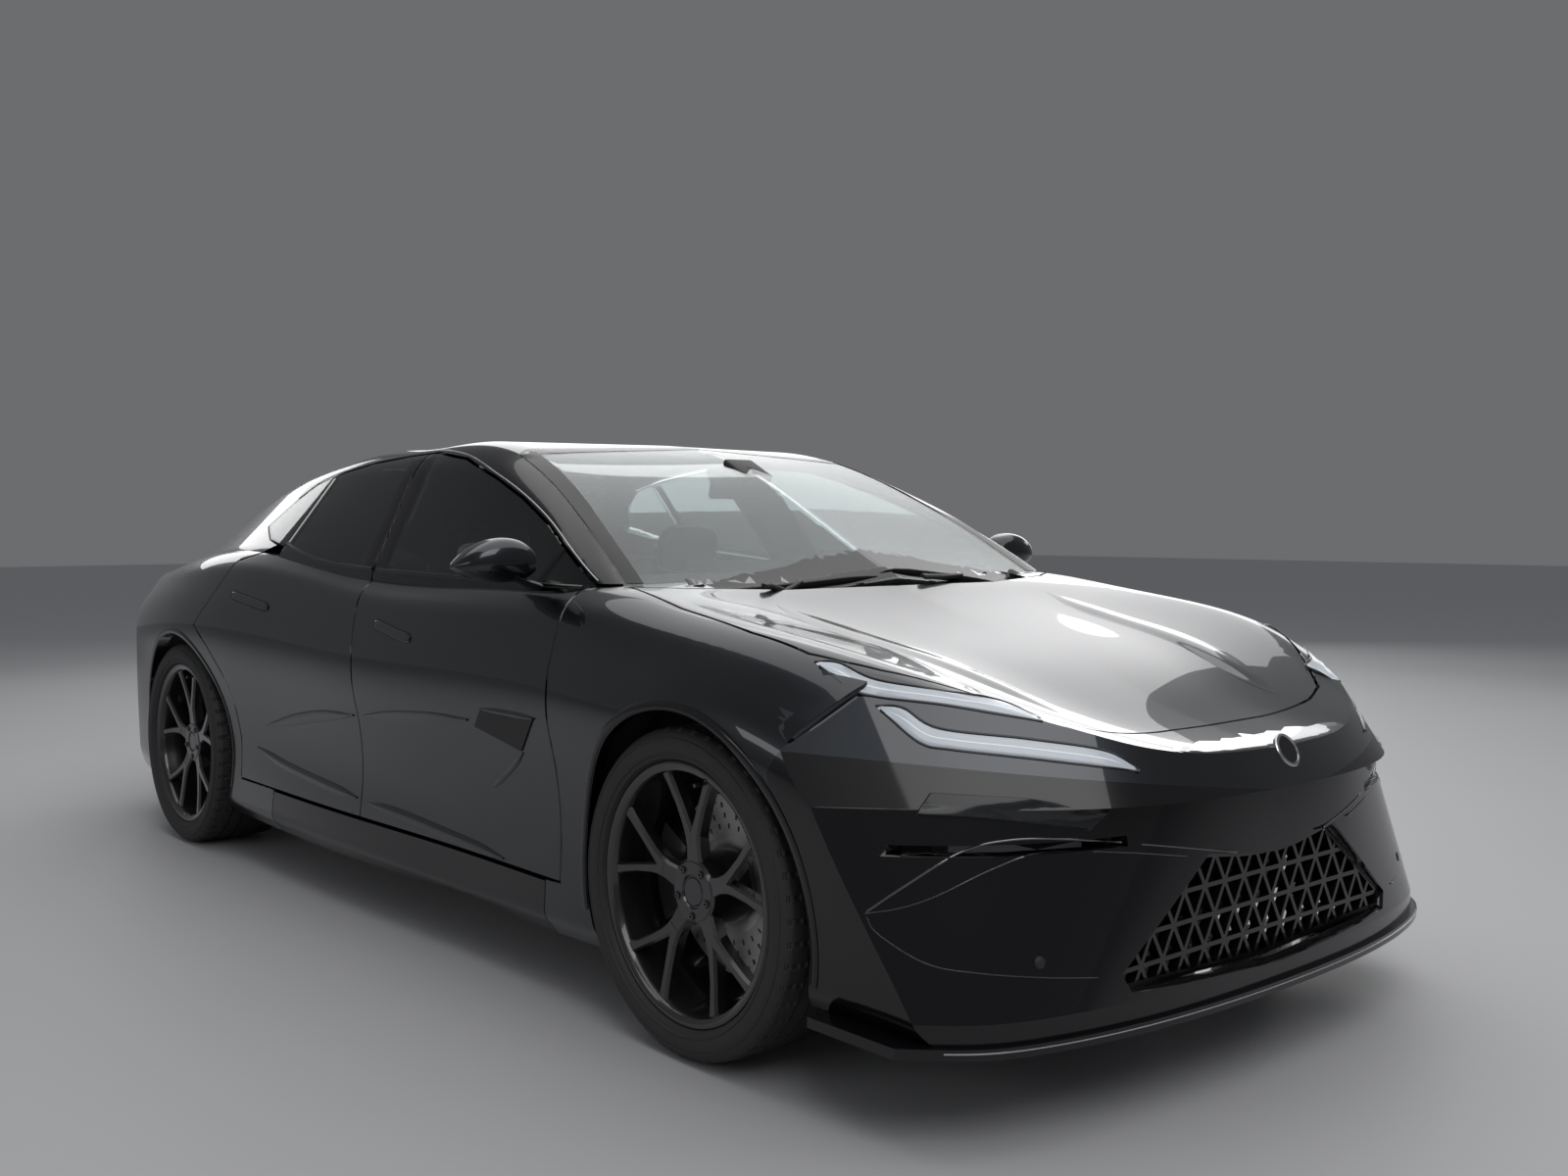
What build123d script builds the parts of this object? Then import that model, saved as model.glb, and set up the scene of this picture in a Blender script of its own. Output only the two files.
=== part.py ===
from build123d import *
from math import acos, cos, dist, pi, radians, sin, tan
import os

os.makedirs("parts", exist_ok=True)

# Electric sports sedan. Millimetres, +X forward, +Y left, Z = 0 at the road,
# X = 0 at half the length.

# Main sizes
length = 5139
wheelbase = 3069
front_overhang = 940
front_axle_x = length / 2 - front_overhang
rear_axle_x = front_axle_x - wheelbase
tail_x = -length / 2
body_reach = 60          # how far the lofts run past nose and tail

# Wall thicknesses
pane = 6                 # side windows
bonded = 10              # windscreen, roof and rear glass with their bond
lid_skin = 30            # bonnet and tailgate
fixed_skin = 36          # wings, quarters, bumpers
frame_depth = 46         # roof frame, measured from the outer surface
shut_gap = 8             # between a moving panel and its neighbour
door_flange = 28
door_rebate = 30
door_inner_y = 800
pillar_gap = 6           # door inner face to the body side
touch = 0.3              # running clearance at seats, pins and stops

# Wheels
tyre_radius = 372
rim_radius = 293.6
front_tyre_width = 265
rear_tyre_width = 305
front_tyre_y = 842.5
rear_tyre_y = 829
hub_z = tyre_radius
arch_radius = 410
wheelhouse_radius = 452
front_wheelhouse_y = 496
rear_wheelhouse_radius = 432
rear_wheelhouse_y = 640
kingpin_y = 745
disc_radius = 205
disc_thickness = 34
front_disc_y = 800
stub_radius = 30

# Lower body, one row a station: x, top at the centre, then (y, z) of the ridge,
# crest, widest point, waist and sill, and the height of the underside.
lower_body = [
    (length / 2 + body_reach, 655, (300, 660), (560, 735), (975, 600), (960, 430), (930, 235), 200),
    (2330, 738, (340, 744), (640, 812), (978, 640), (960, 440), (930, 235), 190),
    (2050, 838, (430, 840), (800, 908), (990, 720), (960, 460), (930, 235), 180),
    (1780, 908, (500, 908), (872, 966), (1008, 775), (955, 480), (930, 220), 170),
    (1430, 1003, (540, 992), (888, 1010), (1006, 775), (945, 500), (930, 210), 160),
    (1280, 1048, (560, 1032), (894, 1024), (1000, 772), (937, 500), (938, 207), 157),
    (1050, 1050, (560, 1036), (905, 1036), (988, 770), (930, 500), (945, 205), 155),
    (0, 1000, (600, 1000), (912, 1048), (980, 765), (925, 490), (958, 205), 155),
    (-700, 1030, (620, 1030), (905, 1112), (994, 805), (930, 500), (955, 205), 155),
    (-1440, 1020, (600, 1020), (888, 1092), (1014, 845), (955, 520), (940, 215), 160),
    (-1950, 960, (560, 975), (800, 1034), (958, 830), (955, 560), (930, 260), 180),
    (-2350, 930, (520, 940), (700, 1002), (850, 800), (890, 560), (880, 300), 220),
    (tail_x - body_reach, 900, (480, 905), (620, 975), (720, 780), (780, 560), (800, 320), 240),
]
lower_shares = (0.9, 0.7, 0.7, 0.9, 0.6)

# Cabin, one row a station: x, top at the centre, then (y, z) of the roof edge and
# of the side glass at the belt.
cabin = [
    (1450, 985, (700, 930), (800, 900)),
    (1200, 1116, (815, 1022), (872, 960)),
    (950, 1248, (768, 1172), (884, 1030)),
    (690, 1366, (706, 1304), (888, 1035)),
    (430, 1428, (668, 1400), (890, 1035)),
    (0, 1454, (654, 1439), (893, 1040)),
    (-450, 1454, (643, 1432), (893, 1062)),
    (-850, 1430, (630, 1398), (884, 1085)),
    (-1270, 1367, (603, 1333), (850, 1080)),
    (-1650, 1284, (566, 1242), (800, 1040)),
    (-2050, 1172, (530, 1130), (740, 1000)),
    (-2400, 1062, (505, 1030), (700, 960)),
    (tail_x - body_reach, 990, (480, 960), (660, 900)),
]
cabin_shares = (0.45, 0.2)
cabin_floor_z = 760


def corner_arc(before, corner, after, share):
    # Start, middle and end of the arc that takes this share of half the shorter run
    run_in = dist(before, corner)
    run_out = dist(corner, after)
    dot = (corner[0] - before[0]) * (after[0] - corner[0]) + (corner[1] - before[1]) * (after[1] - corner[1])
    turn = acos(max(-1, min(1, dot / run_in / run_out)))
    reach = share * min(run_in, run_out) / 2
    back = (Vector(*before) - Vector(*corner)).normalized()
    ahead = (Vector(*after) - Vector(*corner)).normalized()
    sagitta = reach / tan(turn / 2) * (1 / cos(turn / 2) - 1)
    centre = Vector(*corner)
    return centre + back * reach, centre + (back + ahead).normalized() * sagitta, centre + ahead * reach


def rounded_path(points, shares):
    # Edges from the first point to the last, each corner between them rounded
    edges = []
    here = Vector(*points[0])
    for i, share in enumerate(shares, start=1):
        start, middle, end = corner_arc(points[i - 1], points[i], points[i + 1], share)
        edges.append(Edge.make_line(here, start))
        edges.append(Edge.make_three_point_arc(start, middle, end))
        here = end
    edges.append(Edge.make_line(here, Vector(*points[-1])))
    return edges


def lower_points(row, inset):
    x, top, ridge, crest, widest, waist, sill, bottom = row
    points = [(0, top - inset)]
    points += [(y - inset, z - inset) for y, z in (ridge, crest, widest, waist, sill)]
    return points + [(sill[0] - 40 - inset, bottom - inset)]


def cabin_points(row, inset):
    x, top, edge, belt = row
    points = [(0, top - inset), (edge[0] - inset, edge[1] - inset), (belt[0] - inset, belt[1] - inset)]
    return points + [(belt[0] - inset - 5, cabin_floor_z)]


def loft_half(table, points_of, shares, inset):
    # Left half of a body form, solid to the centre line, each surface moved in by inset
    with BuildPart() as form:
        for row in table:
            points = points_of(row, inset)
            foot = (0, points[-1][1])
            edges = rounded_path(points, shares)
            edges.append(Edge.make_line(points[-1], foot))
            edges.append(Edge.make_line(foot, points[0]))
            with BuildSketch(Plane.YZ.offset(row[0] * (1 + inset / 20000))):
                make_face(edges)
        loft()
    return form.part


def loft_plain(table, points_of, inset):
    # The same half form without rounded corners, for the unseen inner side of panels
    with BuildPart() as form:
        for row in table:
            points = points_of(row, inset)
            with BuildSketch(Plane.YZ.offset(row[0] * (1 + inset / 20000))):
                with BuildLine():
                    Polyline(*points, (0, points[-1][1]), close=True)
                make_face()
        loft(ruled=True)
    return form.part


body_form = loft_half(lower_body, lower_points, lower_shares, 0)
cabin_form = loft_half(cabin, cabin_points, cabin_shares, 0)
cabin_under_bond = loft_half(cabin, cabin_points, cabin_shares, bonded)
cabin_under_pane = loft_half(cabin, cabin_points, cabin_shares, pane)
inner_lid = loft_plain(lower_body, lower_points, lid_skin)
inner_flange = loft_plain(lower_body, lower_points, door_flange)
inner_skin = loft_plain(lower_body, lower_points, fixed_skin)
inner_frame = loft_plain(cabin, cabin_points, frame_depth)
inner_post = loft_plain(cabin, cabin_points, 2 * frame_depth)


def upright(points, low_y, high_y, grow=0):
    # Side-view outline (x, z), carried across the car from low_y to high_y
    with BuildPart() as block:
        with BuildSketch(Plane.XZ.offset(-high_y)):
            with BuildLine():
                Polyline(*points, close=True)
            make_face()
            if grow:
                offset(amount=grow, kind=Kind.INTERSECTION)
        extrude(amount=high_y - low_y)
    return block.part


def flat(points, low_z, high_z, grow=0):
    # Plan outline (x, y), carried up from low_z to high_z
    with BuildPart() as block:
        with BuildSketch(Plane.XY.offset(low_z)):
            with BuildLine():
                Polyline(*points, close=True)
            make_face()
            if grow:
                offset(amount=grow, kind=Kind.INTERSECTION)
        extrude(amount=high_z - low_z)
    return block.part


def across(points, low_x, high_x, grow=0):
    # Front-view outline (y, z), carried from low_x to high_x
    with BuildPart() as block:
        with BuildSketch(Plane.YZ.offset(low_x)):
            with BuildLine():
                Polyline(*points, close=True)
            make_face()
            if grow:
                offset(amount=grow, kind=Kind.INTERSECTION)
        extrude(amount=high_x - low_x)
    return block.part


def box(low, high):
    with BuildPart() as block:
        with Locations([tuple((a + b) / 2 for a, b in zip(low, high))]):
            Box(*[b - a for a, b in zip(low, high)])
    return block.part


def drum(x, radius, low_y, high_y, z=hub_z):
    # Cylinder that lies across the car
    with BuildPart() as block:
        with BuildSketch(Plane.XZ.offset(-high_y)):
            with Locations((x, z)):
                Circle(radius)
        extrude(amount=high_y - low_y)
    return block.part


def save(part, name):
    part.label = name
    export_step(part, "parts/" + name + ".step")


def mirrored(part):
    with BuildPart() as right:
        add(part)
        mirror(about=Plane.XZ, mode=Mode.REPLACE)
    return right.part


def save_sides(part, name):
    # A left-hand piece and its mirror image, each in its own node
    save(part, name + "_left")
    save(mirrored(part), name + "_right")


def save_pair(part, name):
    # A left-hand piece and its mirror image in one node, joined where they meet
    with BuildPart() as pair:
        add(part)
        mirror(about=Plane.XZ)
    save(pair.part, name)


def both_sides(points):
    # Plan outline of the left half made whole
    return points + [(x, -y) for x, y in reversed(points)]


def both_halves(points):
    # Front-view outline of the left half made whole, its first and last point on the centre line
    return points + [(-y, z) for y, z in reversed(points[1:-1])]


# Nose and tail outlines in plan, half, from the centre line outwards
lip_z = 632
chin_z = 205
nose_outline = [(length / 2, 0), (2548, 300), (2508, 460), (2435, 610), (2335, 735), (2220, 845),
                (1960, 1090)]
chin_foot = [(2530, 0), (2515, 380), (2455, 700), (2400, 830), (2300, 940), (2180, 1040), (1960, 1160)]
chin_head = [(2505, 0), (2484, 330), (2425, 540), (2350, 700), (2260, 815), (2160, 910), (1960, 1090)]
tail_outline = [(tail_x, 0), (-2550, 330), (-2490, 560), (-2390, 705), (-2200, 845), (-2000, 950),
                (-1760, 1080)]
nose_rake = (-0.55, -0.30, 1.0)
nose_start_x = 1900
rear_start_x = -640


def plan_line(outline, inset, back_x, smooth=True):
    # Half outline, closed behind at back_x, 20 past the centre line
    side = 1 if outline[0][0] > 0 else -1
    points = [(outline[0][0] - side * inset, 0)]
    points += [(x - side * inset * 0.8, y - inset * 0.8) for x, y in outline[1:]]
    with BuildLine() as line:
        Line((back_x, -20), (points[0][0], -20))
        Line((points[0][0], -20), points[0])
        if smooth:
            Spline(*points, tangents=((0, 1), (-side, 1.1)))
        else:
            Polyline(*points)
        Line(points[-1], (back_x, points[-1][1]))
        Line((back_x, points[-1][1]), (back_x, -20))
    return line.line


def nose_block(inset, smooth):
    # Room inside the nose outlines: raked above the lip, undercut below it
    back_x = nose_start_x - 300
    with BuildPart() as block:
        with BuildSketch(Plane.XY.offset(lip_z)):
            with BuildLine():
                add(plan_line(nose_outline, inset, back_x, smooth))
            make_face()
        extrude(amount=420, dir=nose_rake)
        for low, high, foot, head in ((chin_z - 90, chin_z + 40, chin_foot, chin_foot),
                                      (chin_z + 40, lip_z, chin_foot, chin_head)):
            for height, outline in ((low, foot), (high, head)):
                with BuildSketch(Plane.XY.offset(height)):
                    with BuildLine():
                        add(plan_line(outline, inset, back_x, smooth))
                    make_face()
            loft(ruled=True)
        add(box((nose_start_x, -50, 50), (2700, 1300, 1200)), mode=Mode.INTERSECT)
    return block.part


def tail_block(inset, smooth):
    with BuildPart() as block:
        with BuildSketch(Plane.XY.offset(100)):
            with BuildLine():
                add(plan_line(tail_outline, inset, rear_start_x, smooth))
            make_face()
        extrude(amount=1500)
    return block.part


# Shut lines in plan (x, y), left half
bonnet_half = [(2342, 1), (2345, 200), (2342, 420), (2318, 504), (2236, 598), (2142, 694), (2060, 768),
               (1990, 812), (1920, 842), (1750, 856), (1480, 842), (1212, 800), (1285, 680), (1345, 400), (1372, 1)]
screen_half = [(1356, 1), (1330, 400), (1272, 670), (1200, 800), (950, 748), (690, 688), (430, 642),
               (402, 600), (392, 1)]
roof_half = [(386, 1), (396, 600), (424, 640), (0, 618), (-450, 610), (-897, 592), (-897, 1)]
gate_half = [(-905, 1), (-905, 575), (-1300, 560), (-1700, 536), (-2100, 520), (-2200, 530), (-2700, 600),
             (-2700, 1)]
gate_hole_half = [(-965, 1), (-965, 505), (-1300, 492), (-1700, 468), (-2050, 450), (-2080, 1)]
gate_glass_end = -2140
gate_low_z = 800
lamp_bar = (866, 902)
lamp_depth = 14

# Shut lines in side view (x, z)
splitter_z = (182, 204)
bumper_zone = [(1955, splitter_z[1] + touch), (1955, 690), (2068, 862), (2068, 1050), (2700, 1050),
               (2700, splitter_z[1] + touch)]
rear_bumper_zone = [(-1790, 150), (-1790, 620), (-2010, 790), (-2700, 790), (-2700, 150)]
door_low_z = 300
front_hinge_edge = 1105
rear_hinge_edge = 0
rear_door_arch = 505
front_door = [(front_hinge_edge, door_low_z), (front_hinge_edge, 780), (1097, 900), (1085, 1150), (-12, 1150),
              (-12, 1060), (-24, 930), (rear_hinge_edge, 780), (rear_hinge_edge, door_low_z)]
rear_door_arc = [(rear_axle_x + rear_door_arch * cos(radians(a)), hub_z + rear_door_arch * sin(radians(a)))
                 for a in (64, 50, 36, 22, 8, -8.2)]
rear_door = [(rear_hinge_edge, door_low_z), (rear_hinge_edge, 780), (-24, 930), (-12, 1060), (-12, 1150),
             (-780, 1150),
             (-785, 1116), (-1000, 1057), (-1120, 912)] + rear_door_arc
window_top = [(1130, 1034), (960, 1115), (800, 1190), (620, 1260), (430, 1322), (200, 1385), (-50, 1413),
              (-250, 1408), (-447, 1391), (-650, 1366), (-848, 1325), (-960, 1262), (-1040, 1180)]
quarter_pane_x = -733
side_glass = window_top + [(-900, 1134), (-785, 1116), (-785, 1000), (1130, 1000)]
half_gap = shut_gap / 2

bonnet_outline = both_sides(bonnet_half)
gate_outline = both_sides(gate_half)
screen_outline = both_sides(screen_half)
roof_outline = both_sides(roof_half)

upper_blade = [(1926, 820), (2050, 745), (2220, 590), (2312, 480), (2352, 500), (2334, 540), (2274, 638),
               (2188, 722), (2096, 800), (2010, 846), (1926, 868)]
lower_blade = [(2086, 826), (2140, 788), (2200, 748), (2337, 614), (2426, 490), (2484, 424), (2440, 530),
               (2385, 614), (2285, 722), (2205, 790), (2150, 822), (2106, 842)]

# Bonnet
with BuildPart() as bonnet:
    add(flat(bonnet_outline, 600, 1300, -half_gap))
    add(inner_lid, mode=Mode.SUBTRACT)
    add(body_form, mode=Mode.INTERSECT)
save_pair(bonnet.part, "bonnet")

# Front wings
with BuildPart() as wing:
    add(box((1040, 600, 100), (2070, 1100, 1100)))
    add(flat(bonnet_outline, 600, 1300, half_gap), mode=Mode.SUBTRACT)
    add(upright(front_door, 500, 1200, half_gap), mode=Mode.SUBTRACT)
    add(upright(bumper_zone, 500, 1200), mode=Mode.SUBTRACT)
    add(box((1955, 500, 100), (2100, 1200, 300)), mode=Mode.SUBTRACT)
    add(drum(front_axle_x, arch_radius, 500, 1200), mode=Mode.SUBTRACT)
    add(flat(upper_blade, 700, 1100), mode=Mode.SUBTRACT)
    add(inner_skin, mode=Mode.SUBTRACT)
    add(body_form, mode=Mode.INTERSECT)
    add(cabin_form, mode=Mode.SUBTRACT)
save_pair(wing.part, "front_wings")

# Front bumper with its openings, and the lamps that fill some of them
grille_half = [(0, 478), (70, 482), (250, 505), (520, 300), (500, 262), (0, 240)]
channel = [(2600, 470), (2600, 800), (2200, 930), (2200, 470)]
channel_z = (545, 566)
lamp_zone = [(2700, 500), (2700, 800), (2200, 905), (2200, 500)]
lamp_z = (574, 628)
with BuildPart() as nose_inner:
    add(inner_skin)
    add(nose_block(fixed_skin, False), mode=Mode.INTERSECT)
with BuildPart() as nose_form:
    add(body_form)
    add(nose_block(0, True), mode=Mode.INTERSECT)
with BuildPart() as nose_zone:
    add(upright(bumper_zone, 0, 1200))
    add(flat(bonnet_outline, 600, 1300, half_gap), mode=Mode.SUBTRACT)
    add(drum(front_axle_x, arch_radius, 500, 1200), mode=Mode.SUBTRACT)
    add(nose_inner.part, mode=Mode.SUBTRACT)
with BuildPart() as lamp_cuts:
    add(flat(upper_blade, 700, 1100))
    add(flat(lower_blade, 640, 1100))
    add(flat(lamp_zone, *lamp_z))
with BuildPart() as bumper:
    add(nose_zone.part)
    add(across(both_halves(grille_half), 2300, 2700), mode=Mode.SUBTRACT)
    add(flat(channel, *channel_z), mode=Mode.SUBTRACT)
    add(lamp_cuts.part, mode=Mode.SUBTRACT)
    add(nose_form.part, mode=Mode.INTERSECT)
save_pair(bumper.part, "front_bumper")
with BuildPart() as lamps:
    add(lamp_cuts.part)
    add(flat(bonnet_outline, 600, 1300, half_gap), mode=Mode.SUBTRACT)
    add(nose_inner.part, mode=Mode.SUBTRACT)
    add(nose_form.part, mode=Mode.INTERSECT)
save_pair(lamps.part, "front_lamps")

# Lower grille, a plate of triangular cells
grille_x = 2478
grille_rim = 12
grille_depth = 24
cell = 74
cell_bar = 10
cell_rows = 5
row_height = cell * sin(radians(60))
cell_columns = 15
grille_low_z = 236
with BuildPart() as grille:
    with BuildSketch(Plane.YZ.offset(grille_x)):
        with BuildLine():
            Polyline(*both_halves(grille_half), close=True)
        make_face()
        offset(amount=-touch, kind=Kind.INTERSECTION)
        pointing_up = []
        pointing_down = []
        for row in range(cell_rows):
            z = grille_low_z + row_height * (row + 0.5)
            for column in range(cell_columns):
                y = (column - (cell_columns - 1) / 2) * cell + (cell / 2 if row % 2 else 0)
                pointing_up.append((y, z - row_height / 6))
                pointing_down.append((y - cell / 2, z + row_height / 6))
        cell_radius = (cell - cell_bar * 1.7) / 3 ** 0.5
        with Locations(*pointing_up):
            RegularPolygon(radius=cell_radius, side_count=3, rotation=90, mode=Mode.SUBTRACT)
        with Locations(*pointing_down):
            RegularPolygon(radius=cell_radius, side_count=3, rotation=-90, mode=Mode.SUBTRACT)
    extrude(amount=-grille_depth)
    with BuildSketch(Plane.YZ.offset(grille_x)):
        with BuildLine():
            Polyline(*both_halves(grille_half), close=True)
        make_face()
        offset(amount=-touch, kind=Kind.INTERSECTION)
        offset(amount=-grille_rim, kind=Kind.INTERSECTION, mode=Mode.SUBTRACT)
    extrude(amount=-grille_depth)
save(grille.part, "front_grille")

# Splitter below the bumper
with BuildPart() as splitter:
    with BuildSketch(Plane.XY.offset(splitter_z[0])):
        with BuildLine():
            add(plan_line(chin_foot, -14, nose_start_x))
        make_face()
        with Locations((2110, 0)):
            Rectangle(460, 1500, mode=Mode.SUBTRACT)
    extrude(amount=splitter_z[1] - splitter_z[0])
    add(box((2000, 0, 100), (2700, 965, 300)), mode=Mode.INTERSECT)
    add(box((1990, 620, 100), (2052, 1000, 300)), mode=Mode.SUBTRACT)
save_pair(splitter.part, "front_splitter")

# Windscreen and roof
with BuildPart() as bond_layer:
    add(cabin_form)
    add(cabin_under_bond, mode=Mode.SUBTRACT)
with BuildPart() as screen:
    add(bond_layer.part)
    add(flat(screen_outline, 900, 1600), mode=Mode.INTERSECT)
save_pair(screen.part, "windscreen")
with BuildPart() as roof:
    add(bond_layer.part)
    add(flat(roof_outline, 1200, 1600), mode=Mode.INTERSECT)
save_pair(roof.part, "roof_panel")

# Sills under the doors
sill_x = (rear_start_x - 2, 1036)
with BuildPart() as sill:
    add(box((sill_x[0], 700, 150), (sill_x[1], 1100, door_low_z - shut_gap)))
    add(inner_skin, mode=Mode.SUBTRACT)
    add(body_form, mode=Mode.INTERSECT)
save_pair(sill.part, "sills")

# Side frames: windscreen posts, roof rails, middle posts, hinge posts and brackets
post_x = (1062, 1190)
post_low_z = 300
post_y = (700, door_inner_y - pillar_gap)
middle_post_x = (-55, 35)
core_face = half_gap + door_rebate
bracket_heights = ((430, 500), (690, 760))
with BuildPart() as rail:
    add(box((-960, 300, 1040), (1300, 1100, 1600)))
    add(upright(side_glass, 500, 1200, half_gap), mode=Mode.SUBTRACT)
    add(flat(screen_outline, 900, 1600, -48), mode=Mode.SUBTRACT)
    add(flat(both_sides([(345, 1), (345, 575), (-1000, 548), (-1000, 1)]), 900, 1600), mode=Mode.SUBTRACT)
    add(flat(gate_outline, 900, 1600, half_gap), mode=Mode.SUBTRACT)
    add(box((-961, 500, 1000), (-700, 1200, 1160)), mode=Mode.SUBTRACT)
    add(inner_frame, mode=Mode.SUBTRACT)
with BuildPart() as proud:
    add(rail.part)
    add(box((-960, 300, 1040), (1213, 1100, 1600)), mode=Mode.INTERSECT)
    add(flat(screen_outline, 900, 1600), mode=Mode.SUBTRACT)
    add(flat(both_sides(roof_half[:3] + [(400, 640), (0, 618), (-450, 610), (-1000, 590), (-1000, 1)]), 900, 1600),
        mode=Mode.SUBTRACT)
    add(cabin_form, mode=Mode.INTERSECT)
with BuildPart() as side_frame:
    add(rail.part)
    add(upright([(-54, 1062), (36, 1062), (-64, 1430), (-154, 1430)], 500, 1000))
    add(inner_post, mode=Mode.SUBTRACT)
    add(cabin_under_bond, mode=Mode.INTERSECT)
    add(proud.part)
    add(box((middle_post_x[0], 730, post_low_z), (middle_post_x[1], post_y[1], 1100)))
    add(box((middle_post_x[0] + 5, 735, 1062), (middle_post_x[1] - 5, 832, 1100)))
    add(box((post_x[0], post_y[0], post_low_z), (post_x[1], post_y[1], 1010)))
    add(box((post_x[0], 740, 1000), (post_x[0] + 48, post_y[1], 1064)))
    for low, high in bracket_heights:
        add(box((front_hinge_edge - core_face + touch, post_y[0], low), (front_hinge_edge + 40, 872, high)))
        add(box((rear_hinge_edge - core_face + touch, 740, low), (rear_hinge_edge + 8, 872, high)))
save_pair(side_frame.part, "side_frames")


# Doors
with BuildPart() as side_layer:
    add(upright(side_glass, 600, 1200))
    add(cabin_under_pane, mode=Mode.SUBTRACT)
    add(cabin_form, mode=Mode.INTERSECT)


def pane_part(zone, grow):
    with BuildPart() as glass:
        add(side_layer.part)
        add(upright(zone, 500, 1300, grow), mode=Mode.INTERSECT)
    return glass.part


front_pane = [p for p in window_top if p[0] > -60] + [(-110, 1413), (-12, 1050), (-12, 1000), (1130, 1000)]
rear_pane = [(-12, 1000), (-12, 1050), (-110, 1413)] + [p for p in window_top if -700 < p[0] < -120]
rear_pane += [(quarter_pane_x, 1352), (quarter_pane_x, 1000)]
for name, outline, zone in (("front", front_door, front_pane), ("rear", rear_door, rear_pane)):
    glass = pane_part(zone, -half_gap)
    with BuildPart() as hollow:
        add(inner_flange)
        add(upright(outline, door_inner_y, 1200, -half_gap - door_rebate), mode=Mode.SUBTRACT)
    with BuildPart() as door:
        add(upright(outline, door_inner_y, 1200, -half_gap))
        add(hollow.part, mode=Mode.SUBTRACT)
        add(body_form, mode=Mode.INTERSECT)
        add(glass, mode=Mode.SUBTRACT)
    save_sides(door.part, "door_" + name)
    save_sides(glass, "door_glass_" + name)

# Mirrors
with BuildPart() as mirror_unit:
    with BuildSketch(Plane.YZ.offset(955)):
        with Locations((1005, 1098)):
            RectangleRounded(180, 100, 40)
    with BuildSketch(Plane.YZ.offset(835)):
        with Locations((1000, 1100)):
            RectangleRounded(216, 128, 40)
    loft()
    with BuildSketch(Plane.XZ.offset(-880)):
        with Locations((905, 1040)):
            Rectangle(90, 26)
    with BuildSketch(Plane.XZ.offset(-960)):
        with Locations((905, 1062)):
            Rectangle(70, 30)
    loft()
    add(cabin_form, mode=Mode.SUBTRACT)
save_sides(mirror_unit.part, "mirror")

# Rear quarters, tailgate and rear bumper, cut from one form of the tail
diffuser_y = 559.7
quarter_pane_zone = [(quarter_pane_x, 1110), (quarter_pane_x, 1352)] + [p for p in window_top if p[0] < -800]
quarter_pane_zone += [(-900, 1134), (-785, 1120)]
with BuildPart() as tail_form:
    add(body_form)
    add(cabin_form)
    add(tail_block(0, True), mode=Mode.INTERSECT)
with BuildPart() as tail_inner:
    add(inner_skin)
    add(inner_frame)
    add(tail_block(fixed_skin, False), mode=Mode.INTERSECT)
with BuildPart() as rear_bumper:
    add(upright(rear_bumper_zone, 0, 1200))
    add(drum(rear_axle_x, arch_radius, 500, 1200), mode=Mode.SUBTRACT)
    add(box((-2700, -10, 100), (-2300, diffuser_y + touch, 350)), mode=Mode.SUBTRACT)
    add(tail_inner.part, mode=Mode.SUBTRACT)
    add(tail_form.part, mode=Mode.INTERSECT)
save_pair(rear_bumper.part, "rear_bumper")
with BuildPart() as quarter:
    add(box((-2700, 0, 150), (rear_start_x - 10, 1200, 1600)))
    add(upright(rear_bumper_zone, -10, 1200), mode=Mode.SUBTRACT)
    add(upright(rear_door, 500, 1200, half_gap), mode=Mode.SUBTRACT)
    add(upright(side_glass, 500, 1200, half_gap), mode=Mode.SUBTRACT)
    add(flat(gate_outline, 700, 1600, half_gap), mode=Mode.SUBTRACT)
    add(box((-960, -10, 1150), (-600, 1200, 1600)), mode=Mode.SUBTRACT)
    add(drum(rear_axle_x, arch_radius, 500, 1200), mode=Mode.SUBTRACT)
    add(tail_inner.part, mode=Mode.SUBTRACT)
    add(tail_form.part, mode=Mode.INTERSECT)
save_pair(quarter.part, "rear_quarters")
save_pair(pane_part(quarter_pane_zone, -1), "quarter_panes")

with BuildPart() as gate_glass:
    add(flat(gate_outline, 900, 1600, -half_gap))
    add(box((gate_glass_end, -10, 800), (-800, 900, 1600)), mode=Mode.INTERSECT)
    add(bond_layer.part, mode=Mode.INTERSECT)
save_pair(gate_glass.part, "tailgate_glass")
with BuildPart() as gate_rim:
    add(flat(gate_outline, 900, 1600, -half_gap))
    add(flat(both_sides(gate_hole_half), 900, 1600), mode=Mode.SUBTRACT)
    add(box((-2200, 0, 800), (-800, 900, 1600)), mode=Mode.INTERSECT)
    add(inner_frame, mode=Mode.SUBTRACT)
    add(cabin_under_bond, mode=Mode.INTERSECT)
with BuildPart() as gate_tail:
    add(flat(gate_outline, gate_low_z, 1300, -half_gap))
    add(box((-2700, 0, 700), (gate_glass_end, 1000, 1400)), mode=Mode.INTERSECT)
    add(tail_inner.part, mode=Mode.SUBTRACT)
    add(tail_form.part, mode=Mode.INTERSECT)
with BuildPart() as lamp_recess:
    add(box((-2700, -10, lamp_bar[0]), (-2300, 1000, lamp_bar[1])))
    add(tail_block(lamp_depth, False), mode=Mode.SUBTRACT)
with BuildPart() as gate:
    add(gate_tail.part)
    add(lamp_recess.part, mode=Mode.SUBTRACT)
    add(gate_rim.part)
save_pair(gate.part, "tailgate")
with BuildPart() as lamp:
    add(gate_tail.part)
    add(lamp_recess.part, mode=Mode.INTERSECT)
save_pair(lamp.part, "tail_lamp")

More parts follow.
